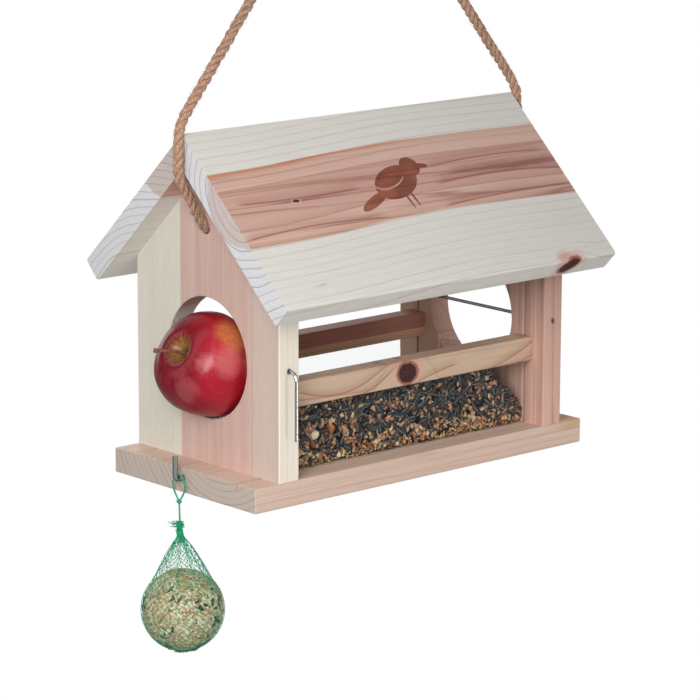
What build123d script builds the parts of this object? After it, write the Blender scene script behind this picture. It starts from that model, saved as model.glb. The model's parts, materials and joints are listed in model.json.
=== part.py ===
"""Hanging bird feeder: a little gabled house of softwood boards on a rope.

Frame: millimetres, +X along the ridge, -Y the front, +Z up.
Origin: centre of the base board's underside.
"""

import math
import os

from build123d import *

# ---- boards ---------------------------------------------------------------
BOARD = 17.0            # thickness of base, end walls and roof boards
BASE_LENGTH = 300.0
HOUSE_DEPTH = 148.0     # base board and end walls share their front and rear edges
WALL_OUT = 129.5        # outer face of an end wall from the middle of the house
RIDGE_Z = 241.0         # top of the ridge
ROOF_PITCH = 43.6       # degrees
ROOF_LENGTH = 299.0
FRONT_SLOPE = 146.0     # ridge to eave along the outer face
REAR_SLOPE = 143.0
EDGE_ROUND = 0.8        # sanded edges
EAVE_ROUND = 1.6

# ---- rails, grooves and panes ---------------------------------------------
RAIL_DEPTH = 15.0       # along Y
RAIL_HEIGHT = 17.0
RAIL_Z = 62.4           # underside
GROOVE_Y = 55.0         # middle of each saw groove, rail and pane
GROOVE_WIDTH = 2.0
GROOVE_DEPTH = 5.0
PANE = 1.5
PANE_PLAY = 0.3         # gap under, over and beside a pane

# ---- holes in the end walls -----------------------------------------------
APPLE_HOLE_Z = 89.0
APPLE_HOLE_R = 41.0
ROPE_HOLE_Z = 176.5
ROPE_HOLE_R = 4.2

# ---- skewers --------------------------------------------------------------
SKEWER_R = 1.15
SKEWER_Z = 91.0
SKEWER_BORE_R = 1.5
SKEWER_STANDOFF = 7.3   # upright handle in front of the wall's edge
SKEWER_HANDLE = 45.5    # drop of the handle below the rod
SKEWER_BEND = 6.0
SKEWER_TIP_GAP = 2.0    # rod's far end short of the far edge

# ---- rope -----------------------------------------------------------------
ROPE_R = 3.5
ROPE_X = 153.4          # rope where it passes the ends of the roof
ROPE_PIVOT_Z = 243.0    # height at which the rope bends over the ridge's ends
ROPE_TOP_Z = 430.0
ROPE_TOP_HALF = 16.0    # half width of the loop's top bend
KNOT_R = 8.5
ROPE_GAP = 0.15

# ---- food -----------------------------------------------------------------
SEED_FRONT_Z = 60.0     # top of the seed at the front pane
SEED_REAR_Z = 45.0
SEED_END_Z = 46.0       # seeds slope down to the apple holes
SEED_SLOPE = 30.0       # degrees, how steeply loose seeds lie
FOOD_GAP = 0.5
APPLE_CENTRE = (-129.2, 0, 84.0)
APPLE_R = 35.4
APPLE_TILT = 30.5       # stem axis above the horizontal, pointing out of the wall
STEM_HOLLOW = 0.50      # floor of the stem hollow, as a share of the radius
EYE_HOLLOW = -0.74
STEM_R = 1.3
STEM_LENGTH = 20.0

# ---- hooks and the fat ball -----------------------------------------------
HOOK_R = 1.75
HOOK_Z = 10.4
HOOK_REACH = 7.0        # upright arm from the base's end face
HOOK_TOP = 26.3
HOOK_IN = 22.0          # shank inside the board
HOOK_BEND = 2.5
STRING_R = 0.7
STRING_X = -153.9       # plane of the string loop on the hook
STRING_KNOT_Z = -5.5
STRING_KNOT_R = 2.2
BALL_CENTRE = (-152.9, -1.8, -79.6)
BALL_R = 27.6
NET_GAP = 0.35
NET = 0.5
NET_LEAVES = 42.0       # degrees above the ball's middle where the cone starts
NET_ENDS = -84.0        # degrees, rim of the opening at the bottom
TUFT_R = 4.6
TUFT_TOP = 12.5         # below the string's knot
TUFT_BOTTOM = 28.0

# ---- hidden fixings -------------------------------------------------------
FIT = 0.05              # radial play of every hidden fixing
DOWEL_R = 3.0
DOWEL_IN_WALL = 12.0
DOWEL_IN_RAIL = 18.0
DOWEL_Z = RAIL_Z + 11.1
SCREW_R = 2.0
SCREW_HEAD_R = 4.0
SCREW_HEAD = 2.4
SCREW_LENGTH = 40.0
SCREW_TIP = 4.0
SCREW_POINT_R = 0.4
SCREW_CROSS = (4.8, 1.0, 1.3)     # length, width and depth of the cross recess
SCREW_Y = 45.0
BRAD_R = 0.8
BRAD_LENGTH = 30.0
BRAD_SET = 1.5          # punched below the roof's face and filled
BRAD_SLOPE = (36.0, 66.0, 96.0)   # distances from the ridge

# ---- worked out -----------------------------------------------------------
WALL_IN = WALL_OUT - BOARD
WALL_MID = WALL_OUT - BOARD / 2
HALF_DEPTH = HOUSE_DEPTH / 2
COS = math.cos(math.radians(ROOF_PITCH))
SIN = math.sin(math.radians(ROOF_PITCH))
SOFFIT_Z = RIDGE_Z - BOARD / COS          # underside of the roof at the ridge
WALL_EDGE_Z = SOFFIT_Z - HALF_DEPTH * SIN / COS
RAIL_TOP = RAIL_Z + RAIL_HEIGHT
KNOT = (STRING_X, 0.0, STRING_KNOT_Z)
LEFT, RIGHT = -1, 1
FRONT, REAR = -1, 1
SIDES = (LEFT, RIGHT)
FACES = (FRONT, REAR)


def block(low, high):
    """Box between two corners."""
    size = [b - a for a, b in zip(low, high)]
    middle = [(a + b) / 2 for a, b in zip(low, high)]
    return Pos(*middle) * Box(*size)


def rod_x(radius, start, end, y, z):
    """Round bar along X."""
    return Pos((start + end) / 2, y, z) * Rot(0, 90, 0) * Cylinder(radius, abs(end - start))


def rod_y(radius, start, end, x, z):
    """Round bar along Y."""
    return Pos(x, (start + end) / 2, z) * Rot(90, 0, 0) * Cylinder(radius, abs(end - start))


def bent_wire(radius, bend, *points):
    """Round wire through points, with round bends."""
    path = FilletPolyline(*points, radius=bend)
    return sweep(Plane(origin=path @ 0, z_dir=path % 0) * Circle(radius), path=path)


def groove(y, z_low, z_high, half_length):
    """Saw groove along X."""
    half = GROOVE_WIDTH / 2
    return block((-half_length, y - half, z_low), (half_length, y + half, z_high))


def at_base_screws(shape):
    """A shape at each of the four screws up through the base."""
    places = [(side * WALL_MID, face * SCREW_Y) for side in SIDES for face in FACES]
    return [Pos(x, y, 0) * shape for x, y in places]


def base_screw(play):
    """Countersunk screw with its head at the origin, or its hole."""
    straight = SCREW_LENGTH - SCREW_TIP
    body = Pos(0, 0, straight / 2) * Cylinder(SCREW_R + play, straight)
    tip_place = Pos(0, 0, straight + SCREW_TIP / 2)
    tip = tip_place * Cone(SCREW_R + play, SCREW_POINT_R + play, SCREW_TIP)
    head = Pos(0, 0, SCREW_HEAD / 2) * Cone(SCREW_HEAD_R + play, SCREW_R + play, SCREW_HEAD)
    return body + tip + head


def base_screws():
    length, width, depth = SCREW_CROSS
    slot = block((-length / 2, -width / 2, 0), (length / 2, width / 2, depth))
    cross = slot + Rot(0, 0, 90) * slot
    return at_base_screws(base_screw(0.0) - cross)


def roof_brads(play):
    """Headless brads square to each slope, or their holes."""
    brads = []
    for side in SIDES:
        for face in FACES:
            for along in BRAD_SLOPE:
                start = Vector(side * WALL_MID, face * along * COS, RIDGE_Z - along * SIN)
                inward = Vector(0, -face * SIN, -COS)
                middle = start + inward * (BRAD_SET + BRAD_LENGTH / 2)
                pin = Cylinder(BRAD_R + play, BRAD_LENGTH + 2 * play)
                brads.append(Plane(origin=middle, z_dir=inward) * pin)
    return brads


def rail_dowels(play):
    """Dowels between rail ends and end walls, or their holes."""
    dowels = []
    for side in SIDES:
        for face in FACES:
            outer = side * (WALL_IN + DOWEL_IN_WALL + play)
            inner = side * (WALL_IN - DOWEL_IN_RAIL - play)
            dowels.append(rod_x(DOWEL_R + play, inner, outer, face * GROOVE_Y, DOWEL_Z))
    return dowels


def base_board():
    board = block((-BASE_LENGTH / 2, -HALF_DEPTH, 0), (BASE_LENGTH / 2, HALF_DEPTH, BOARD))
    board = fillet(board.edges(), EDGE_ROUND)
    for face in FACES:
        board -= groove(face * GROOVE_Y, BOARD - GROOVE_DEPTH, BOARD + 1, BASE_LENGTH)
    for side in SIDES:
        end = side * BASE_LENGTH / 2
        board -= rod_x(HOOK_R + FIT, end - side * (HOOK_IN + 1), end + side, 0, HOOK_Z)
    for hole in at_base_screws(base_screw(FIT)):
        board -= hole
    return board


def end_wall(side):
    outline = Polyline(
        (side * WALL_IN, -HALF_DEPTH, BOARD),
        (side * WALL_IN, HALF_DEPTH, BOARD),
        (side * WALL_IN, HALF_DEPTH, WALL_EDGE_Z),
        (side * WALL_IN, 0, SOFFIT_Z),
        (side * WALL_IN, -HALF_DEPTH, WALL_EDGE_Z),
        close=True,
    )
    wall = extrude(make_face(outline), amount=BOARD, dir=(side, 0, 0))
    wall = fillet(wall.edges().filter_by(Axis.Z), EDGE_ROUND)
    wall -= rod_x(APPLE_HOLE_R, side * (WALL_IN - 1), side * (WALL_OUT + 1), 0, APPLE_HOLE_Z)
    rims = [e for e in wall.edges().filter_by(GeomType.CIRCLE) if e.radius > APPLE_HOLE_R / 2]
    wall = fillet(rims, EDGE_ROUND)
    wall -= rod_x(ROPE_HOLE_R, side * (WALL_IN - 1), side * (WALL_OUT + 1), 0, ROPE_HOLE_Z)
    wall -= rod_y(SKEWER_BORE_R, -HOUSE_DEPTH, HOUSE_DEPTH, side * WALL_MID, SKEWER_Z)
    for face in FACES:
        wall -= groove(face * GROOVE_Y, 0, RIDGE_Z, WALL_IN + GROOVE_DEPTH)
    for hole in at_base_screws(base_screw(FIT)) + roof_brads(FIT) + rail_dowels(FIT):
        wall -= hole
    return wall


def roof_board(face, slope):
    """Board down one slope, mitred at the ridge and square at the eave."""
    eave = (face * slope * COS, RIDGE_Z - slope * SIN)
    soffit = (eave[0] - face * BOARD * SIN, eave[1] - BOARD * COS)
    x = -ROOF_LENGTH / 2
    outline = Polyline(
        (x, 0, RIDGE_Z), (x, *eave), (x, *soffit), (x, 0, SOFFIT_Z), close=True
    )
    board = extrude(make_face(outline), amount=ROOF_LENGTH, dir=(1, 0, 0))
    long_edges = board.edges().filter_by(Axis.X)
    board = fillet(long_edges.sort_by(Axis.Z)[:2], EAVE_ROUND)
    for hole in roof_brads(FIT):
        board -= hole
    return board


def rail(face):
    bar = block(
        (-WALL_IN, face * GROOVE_Y - RAIL_DEPTH / 2, RAIL_Z),
        (WALL_IN, face * GROOVE_Y + RAIL_DEPTH / 2, RAIL_TOP),
    )
    bar = fillet(bar.edges().filter_by(Axis.X), EDGE_ROUND)
    bar -= groove(face * GROOVE_Y, RAIL_Z - 1, RAIL_Z + GROOVE_DEPTH, WALL_OUT)
    for hole in rail_dowels(FIT):
        bar -= hole
    return bar


def pane(face):
    half_length = WALL_IN + GROOVE_DEPTH - PANE_PLAY
    low = BOARD - GROOVE_DEPTH + PANE_PLAY
    high = RAIL_Z + GROOVE_DEPTH - PANE_PLAY
    y = face * GROOVE_Y
    return block((-half_length, y - PANE / 2, low), (half_length, y + PANE / 2, high))


def apple_skewer(face, side):
    """Wire rod through an end wall, with its bent handle hanging at one edge."""
    x = side * WALL_MID
    handle = face * (HALF_DEPTH + SKEWER_STANDOFF)
    tip = -face * (HALF_DEPTH - SKEWER_TIP_GAP)
    return bent_wire(
        SKEWER_R,
        SKEWER_BEND,
        (x, tip, SKEWER_Z),
        (x, handle, SKEWER_Z),
        (x, handle, SKEWER_Z - SKEWER_HANDLE),
    )


def screw_hook(side):
    """L-shaped screw hook in the middle of one end of the base."""
    end = BASE_LENGTH / 2
    return bent_wire(
        HOOK_R,
        HOOK_BEND,
        (side * (end - HOOK_IN), 0, HOOK_Z),
        (side * (end + HOOK_REACH), 0, HOOK_Z),
        (side * (end + HOOK_REACH), 0, HOOK_TOP),
    )


def rope_loop():
    """The loop above the ridge, down to just above the bends at its ends."""
    reach = math.hypot(ROPE_X - ROPE_TOP_HALF, ROPE_TOP_Z - ROPE_PIVOT_Z)
    rise = (ROPE_TOP_Z - ROPE_PIVOT_Z) / reach
    run = (ROPE_X - ROPE_TOP_HALF) / reach
    start = ROPE_R + ROPE_GAP
    foot_x = ROPE_X - run * start
    foot_z = ROPE_PIVOT_Z + rise * start
    return bent_wire(
        ROPE_R,
        ROPE_TOP_HALF - ROPE_R,
        (-foot_x, 0, foot_z),
        (-ROPE_TOP_HALF, 0, ROPE_TOP_Z),
        (ROPE_TOP_HALF, 0, ROPE_TOP_Z),
        (foot_x, 0, foot_z),
    )


def rope_end(side):
    """Rope from the bend at the ridge's end down through the gable to its knot."""
    knot_x = WALL_IN - KNOT_R - ROPE_GAP
    path = FilletPolyline(
        (side * knot_x, 0, ROPE_HOLE_Z),
        (side * (WALL_OUT + 1.5), 0, ROPE_HOLE_Z),
        (side * (ROPE_X + 0.6), 0, ROPE_HOLE_Z + 34.0),
        (side * ROPE_X, 0, ROPE_PIVOT_Z),
        radius=5.0,
    )
    rope = sweep(Plane(origin=path @ 0, z_dir=path % 0) * Circle(ROPE_R), path=path)
    bend = Pos(side * ROPE_X, 0, ROPE_PIVOT_Z) * Sphere(ROPE_R)
    knot = Pos(side * knot_x, 0, ROPE_HOLE_Z) * Sphere(KNOT_R)
    return rope + bend + knot


def seed_mix():
    """Loose seed between the panes, heaped to the front and hollowed at each apple hole."""
    half_x = WALL_IN - FOOD_GAP
    half_y = GROOVE_Y - PANE / 2 - FOOD_GAP
    outline = Polyline(
        (-half_x, -half_y, BOARD + FOOD_GAP),
        (-half_x, half_y, BOARD + FOOD_GAP),
        (-half_x, half_y, SEED_REAR_Z),
        (-half_x, -half_y, SEED_FRONT_Z),
        close=True,
    )
    seeds = extrude(make_face(outline), amount=2 * half_x, dir=(1, 0, 0))
    depth = SEED_FRONT_Z - SEED_END_Z
    spread = depth / math.tan(math.radians(SEED_SLOPE))
    for side in SIDES:
        seeds -= Pos(side * half_x, 0, SEED_END_Z + depth / 2) * Cone(0, spread, depth)
    return seeds


def apple_axis():
    """Plane at the apple's middle whose Z runs out along the stem."""
    tilt = math.radians(APPLE_TILT)
    return Plane(origin=APPLE_CENTRE, x_dir=(0, 1, 0), z_dir=(-math.cos(tilt), 0, math.sin(tilt)))


def apple():
    """Apple with its stem hollow and eye, bored for the skewer."""
    r = APPLE_R
    shoulder = Spline(
        (0, STEM_HOLLOW * r),
        (0.16 * r, 0.67 * r),
        (0.42 * r, 0.80 * r),
        (0.78 * r, 0.60 * r),
        (0.99 * r, 0.12 * r),
        tangents=((1, 0.6), (0, -1)),
    )
    tail = Spline(
        (0.99 * r, 0.12 * r),
        (0.84 * r, -0.48 * r),
        (0.48 * r, -0.83 * r),
        (0.18 * r, -0.86 * r),
        (0, EYE_HOLLOW * r),
        tangents=((0, -1), (-1, 0.3)),
    )
    profile = make_face([shoulder, tail, Line(tail @ 1, shoulder @ 0)])
    flesh = revolve(Plane.XZ * profile, axis=Axis.Z)
    return apple_axis() * flesh - rod_y(SKEWER_BORE_R, -2 * r, 2 * r, -WALL_MID, SKEWER_Z)


def apple_stem():
    """Woody stem, leaning out of the hollow."""
    foot = STEM_HOLLOW * APPLE_R + STEM_R + FOOD_GAP
    middle = (1.4, 1.7, foot + STEM_LENGTH / 2)
    top = (3.8, 5.6, foot + STEM_LENGTH)
    path = Spline((0, 0, foot), middle, top)
    stem = sweep(Plane(origin=path @ 0, z_dir=path % 0) * Circle(STEM_R), path=path)
    return apple_axis() * stem


def string_loop():
    """Loop of string over the hook's shank, closed by a knot."""
    crown = HOOK_Z + HOOK_R + STRING_R + 3 * FIT
    outline = [(0, STRING_KNOT_Z), (5.2, 1.0), (6.4, 5.5), (4.4, 10.6), (0, crown)]
    loop = Pos(*KNOT) * Sphere(STRING_KNOT_R)
    for face in FACES:
        points = [(STRING_X, face * y, z) for y, z in outline]
        path = Spline(*points, tangents=((0, face, 1), (0, -face, 0)))
        loop += sweep(Plane(origin=path @ 0, z_dir=path % 0) * Circle(STRING_R), path=path)
    return loop


def hanging_axis():
    """Plane at the string's knot whose Z points away from the ball."""
    return Plane(origin=KNOT, z_dir=Vector(*KNOT) - Vector(*BALL_CENTRE))


def ball_depth():
    """Distance from the string's knot to the middle of the ball."""
    return (Vector(*KNOT) - Vector(*BALL_CENTRE)).length


def fat_ball():
    return Pos(*BALL_CENTRE) * Sphere(BALL_R)


def net_round(radius):
    """Where the net's round part leaves the ball, its widest and its lowest point."""
    depth = ball_depth()

    def at(angle):
        turn = math.radians(angle)
        return (radius * math.cos(turn), radius * math.sin(turn) - depth)

    return at(NET_LEAVES), at(0), at(NET_ENDS)


def fat_ball_net():
    """Net bag: a shell round the ball, open at the very bottom, with its tuft."""
    leave_in, side_in, low_in = net_round(BALL_R + NET_GAP)
    leave_out, side_out, low_out = net_round(BALL_R + NET_GAP + NET)
    peak = (0, -TUFT_TOP)
    shoulder = (TUFT_R, -TUFT_TOP - TUFT_R / 2)
    waist = (TUFT_R, -TUFT_BOTTOM)
    inner_waist = (TUFT_R - NET, -TUFT_BOTTOM - NET)
    core = (0, -TUFT_BOTTOM - NET)
    edges = [
        Line(peak, shoulder),
        Line(shoulder, waist),
        Line(waist, leave_out),
        ThreePointArc(leave_out, side_out, low_out),
        Line(low_out, low_in),
        ThreePointArc(low_in, side_in, leave_in),
        Line(leave_in, inner_waist),
        Line(inner_waist, core),
        Line(core, peak),
    ]
    profile = make_face(edges)
    return hanging_axis() * revolve(Plane.XZ * profile, axis=Axis.Z)


def net_string():
    """Single string from the knot down to the tuft."""
    top = STRING_KNOT_R + ROPE_GAP
    middle = (top + TUFT_TOP) / 2
    return hanging_axis() * Pos(0, 0, -middle) * Cylinder(STRING_R, TUFT_TOP - top)


NODES = {
    "base_board": base_board,
    "end_wall_left": lambda: end_wall(LEFT),
    "end_wall_right": lambda: end_wall(RIGHT),
    "roof_board_front": lambda: roof_board(FRONT, FRONT_SLOPE),
    "roof_board_rear": lambda: roof_board(REAR, REAR_SLOPE),
    "rail_front": lambda: rail(FRONT),
    "rail_rear": lambda: rail(REAR),
    "pane_front": lambda: pane(FRONT),
    "pane_rear": lambda: pane(REAR),
    "rail_dowels": lambda: rail_dowels(0.0),
    "base_screws": base_screws,
    "roof_brads": lambda: roof_brads(0.0),
    "hook_left": lambda: screw_hook(LEFT),
    "hook_right": lambda: screw_hook(RIGHT),
    "rope_loop": rope_loop,
    "rope_end_left": lambda: rope_end(LEFT),
    "rope_end_right": lambda: rope_end(RIGHT),
    "apple_skewer_left": lambda: apple_skewer(FRONT, LEFT),
    "apple_skewer_right": lambda: apple_skewer(REAR, RIGHT),
    "seed_mix": seed_mix,
    "apple": apple,
    "apple_stem": apple_stem,
    "string_loop": string_loop,
    "net_string": net_string,
    "fat_ball_net": fat_ball_net,
    "fat_ball": fat_ball,
}


def main():
    os.makedirs("parts", exist_ok=True)
    for name, build in NODES.items():
        shape = build()
        if isinstance(shape, list):
            shape = Compound(children=shape)
        export_step(shape, f"parts/{name}.step")


main()
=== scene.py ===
"""Looks of the hanging bird feeder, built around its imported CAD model. Metres, +X along the ridge, -Y the front."""

import json
import math

import bpy
import numpy as np
from mathutils import Matrix, Vector


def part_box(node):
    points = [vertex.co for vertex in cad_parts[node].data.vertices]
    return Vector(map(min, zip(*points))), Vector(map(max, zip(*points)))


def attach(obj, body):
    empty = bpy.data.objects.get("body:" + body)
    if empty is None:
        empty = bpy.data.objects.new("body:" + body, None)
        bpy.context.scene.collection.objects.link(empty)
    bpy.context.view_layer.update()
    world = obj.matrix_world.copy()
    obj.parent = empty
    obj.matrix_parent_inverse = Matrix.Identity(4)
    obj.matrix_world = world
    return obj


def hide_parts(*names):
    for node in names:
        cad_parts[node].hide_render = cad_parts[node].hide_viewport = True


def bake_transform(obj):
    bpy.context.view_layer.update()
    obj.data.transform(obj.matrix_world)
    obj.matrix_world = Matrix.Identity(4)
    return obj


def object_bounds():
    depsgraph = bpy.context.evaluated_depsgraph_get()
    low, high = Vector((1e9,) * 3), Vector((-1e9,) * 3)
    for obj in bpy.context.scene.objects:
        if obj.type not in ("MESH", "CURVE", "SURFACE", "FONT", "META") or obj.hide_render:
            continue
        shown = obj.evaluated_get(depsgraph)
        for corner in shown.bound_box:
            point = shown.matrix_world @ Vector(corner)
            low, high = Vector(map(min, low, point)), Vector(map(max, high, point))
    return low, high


MM = 0.001

# ---- camera and stage -------------------------------------------------------
CAMERA_AZIMUTH = -41.72
CAMERA_ELEVATION = 12.45
CAMERA_ROLL = 0.19
CAMERA_LENS = 173.85
CAMERA_DISTANCE = 2324.6 * MM
CAMERA_TARGET = Vector((0, 0, 100 * MM))
CAMERA_SHIFT = (-1.7 * MM, -23.9 * MM)   # along the camera's right and up
FLOOR_BELOW = 900 * MM
FLOOR_RADIUS = 30.0

X, Y, Z = 0, 1, 2
FRONT, REAR = -1, 1
LEFT, RIGHT = -1, 1
SEED = 20240611

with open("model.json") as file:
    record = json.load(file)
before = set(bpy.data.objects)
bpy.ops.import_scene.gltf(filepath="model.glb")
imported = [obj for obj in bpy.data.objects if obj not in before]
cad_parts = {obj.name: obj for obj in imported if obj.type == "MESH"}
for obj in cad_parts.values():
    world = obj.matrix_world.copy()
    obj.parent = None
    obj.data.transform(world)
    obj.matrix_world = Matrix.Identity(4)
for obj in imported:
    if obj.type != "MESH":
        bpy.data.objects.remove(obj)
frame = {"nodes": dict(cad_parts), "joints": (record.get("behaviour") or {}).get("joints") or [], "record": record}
cad_low, cad_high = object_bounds()
nodes = frame["nodes"]
record = frame["record"]


def joint(name):
    return next(j for j in frame["joints"] if j["name"] == name)


# =============================================================================
# node trees
# =============================================================================
class Graph:
    """Short calls for building one material's node tree."""

    def __init__(self, name):
        self.material = bpy.data.materials.new(name)
        self.material.use_nodes = True
        self.tree = self.material.node_tree
        self.tree.nodes.clear()
        self.place = self.add("ShaderNodeTexCoord").outputs["Object"]

    def add(self, kind, inputs=None, **settings):
        node = self.tree.nodes.new(kind)
        for key, value in settings.items():
            setattr(node, key, value)
        for key, value in (inputs or {}).items():
            self.put(node.inputs[key], value)
        return node

    def put(self, socket, value):
        if isinstance(value, bpy.types.NodeSocket):
            self.tree.links.new(value, socket)
        elif socket.type == "RGBA" and len(value) == 3:
            socket.default_value = (*value, 1)
        else:
            socket.default_value = value

    def math(self, operation, a, b=0.0, c=0.0):
        node = self.add("ShaderNodeMath", {0: a, 1: b}, operation=operation)
        if operation == "MULTIPLY_ADD":
            self.put(node.inputs[2], c)
        return node.outputs[0]

    def vector(self, operation, a, b=(0, 0, 0)):
        node = self.add("ShaderNodeVectorMath", {0: a, 1: b}, operation=operation)
        return node.outputs["Value" if operation in ("LENGTH", "DOT_PRODUCT") else "Vector"]

    def scaled(self, vector, factor):
        node = self.add("ShaderNodeVectorMath", {0: vector, "Scale": factor}, operation="SCALE")
        return node.outputs["Vector"]

    def parts(self, vector):
        return self.add("ShaderNodeSeparateXYZ", {0: vector}).outputs

    def noise(self, vector, scale, detail=2.0, rough=0.5, distortion=0.0):
        return self.add(
            "ShaderNodeTexNoise",
            {
                "Vector": vector,
                "Scale": scale,
                "Detail": detail,
                "Roughness": rough,
                "Distortion": distortion,
            },
        )

    def wave_noise(self, vector, scale, detail=2.0):
        """Signed three-way noise, about -0.5 to 0.5."""
        return self.vector("SUBTRACT", self.noise(vector, scale, detail).outputs[1], (0.5,) * 3)

    def ramp(self, value, *stops):
        """Grey value from (place, height) stops."""
        ramp = self.add("ShaderNodeValToRGB", {0: value})
        points = ramp.color_ramp.elements
        while len(points) < len(stops):
            points.new(0.5)
        for point, (place, height) in zip(points, stops):
            point.position = place
            point.color = (height, height, height, 1)
        return ramp.outputs[0]

    def smooth(self, value, low, high, out_low=0.0, out_high=1.0):
        """Smooth step from out_low at low to out_high at high."""
        return self.add(
            "ShaderNodeMapRange",
            {0: value, 1: low, 2: high, 3: out_low, 4: out_high},
            interpolation_type="SMOOTHSTEP",
        ).outputs[0]

    def mix(self, share, a, b, how="MIX"):
        node = self.add("ShaderNodeMix", data_type="RGBA", blend_type=how)
        self.put(node.inputs[0], share)
        self.put(node.inputs[6], a)
        self.put(node.inputs[7], b)
        return node.outputs[2]

    def shade(self, colour, amount):
        """Colour times a grey amount."""
        return self.mix(1.0, colour, self.add("ShaderNodeCombineColor", {0: amount, 1: amount, 2: amount}).outputs[0], "MULTIPLY")

    def attribute(self, name):
        return self.add("ShaderNodeAttribute", attribute_name=name)

    def surface(self, colour, roughness=0.5, height=None, bump=0.0, **inputs):
        """Closes the tree with one principled surface."""
        values = {"Base Color": colour, "Roughness": roughness}
        values.update({k.replace("_", " "): v for k, v in inputs.items()})
        shader = self.add("ShaderNodeBsdfPrincipled", values)
        if height is not None:
            relief = self.add("ShaderNodeBump", {"Strength": 1.0, "Distance": bump, "Height": height})
            self.put(shader.inputs["Normal"], relief.outputs[0])
        out = self.add("ShaderNodeOutputMaterial")
        self.tree.links.new(shader.outputs[0], out.inputs[0])
        return self.material


def srgb(red, green, blue):
    """Linear colour from 0-255 display values."""
    def linear(v):
        v = v / 255
        return v / 12.92 if v <= 0.04045 else ((v + 0.055) / 1.055) ** 2.4
    return (linear(red), linear(green), linear(blue))


# =============================================================================
# wood
# =============================================================================
SAP = srgb(234, 231, 225)
SAP_WARM = srgb(231, 227, 213)
HEART = srgb(235, 202, 186)
HEART_DEEP = srgb(190, 138, 124)
PALE_PINK = srgb(234, 213, 200)
PINK = srgb(223, 195, 184)
ORANGE_PINK = srgb(224, 190, 170)
TAN = srgb(212, 186, 158)
RED_BROWN = srgb(188, 130, 114)
LINE = srgb(164, 116, 100)
SAP_LINE = srgb(178, 162, 144)
BORDER = srgb(204, 136, 100)
END_GREY = srgb(232, 232, 236)
END_WARM = srgb(224, 213, 206)
END_LINE = srgb(134, 118, 114)
KNOT_CORE = srgb(58, 30, 28)
KNOT_RIM = srgb(150, 84, 68)
KNOT_HALO = srgb(222, 170, 148)


def spot_distance(g, spot, wobble):
    """How far a point is from a spot's middle, in spot radii. A spot is (centre, radii, turns)."""
    centre, radii, turns = spot
    moved = g.vector("SUBTRACT", g.place, tuple(c * MM for c in centre))
    turned = g.add(
        "ShaderNodeVectorRotate",
        {"Vector": moved, "Rotation": tuple(math.radians(-t) for t in turns)},
        rotation_type="EULER_XYZ",
    ).outputs[0]
    size = min(radii) * MM
    turned = g.vector("ADD", turned, g.scaled(g.wave_noise(g.place, 0.9 / size), wobble * size))
    return g.vector("LENGTH", g.vector("MULTIPLY", turned, tuple(1 / (r * MM) for r in radii)))


def paint_knots(g, colour, distances):
    """Dark ringed heart, brown rim and a warm halo for each knot."""
    for distance in distances:
        colour = g.mix(g.smooth(distance, 2.3, 1.2, 0.0, 0.6), colour, KNOT_HALO)
        colour = g.mix(g.smooth(distance, 1.42, 1.2, 0.0, 0.85), colour, KNOT_RIM)
        rings = g.math("SINE", g.math("MULTIPLY", distance, 22.0))
        speck = g.noise(g.place, 700.0, 3).outputs[0]
        heart = g.mix(g.smooth(speck, 0.35, 0.7), KNOT_CORE, srgb(90, 46, 42))
        heart = g.mix(g.smooth(rings, 0.0, 1.0, 0.0, 0.6), heart, srgb(36, 18, 20))
        colour = g.mix(g.smooth(distance, 1.12, 0.96), colour, heart)
    return colour


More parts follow.
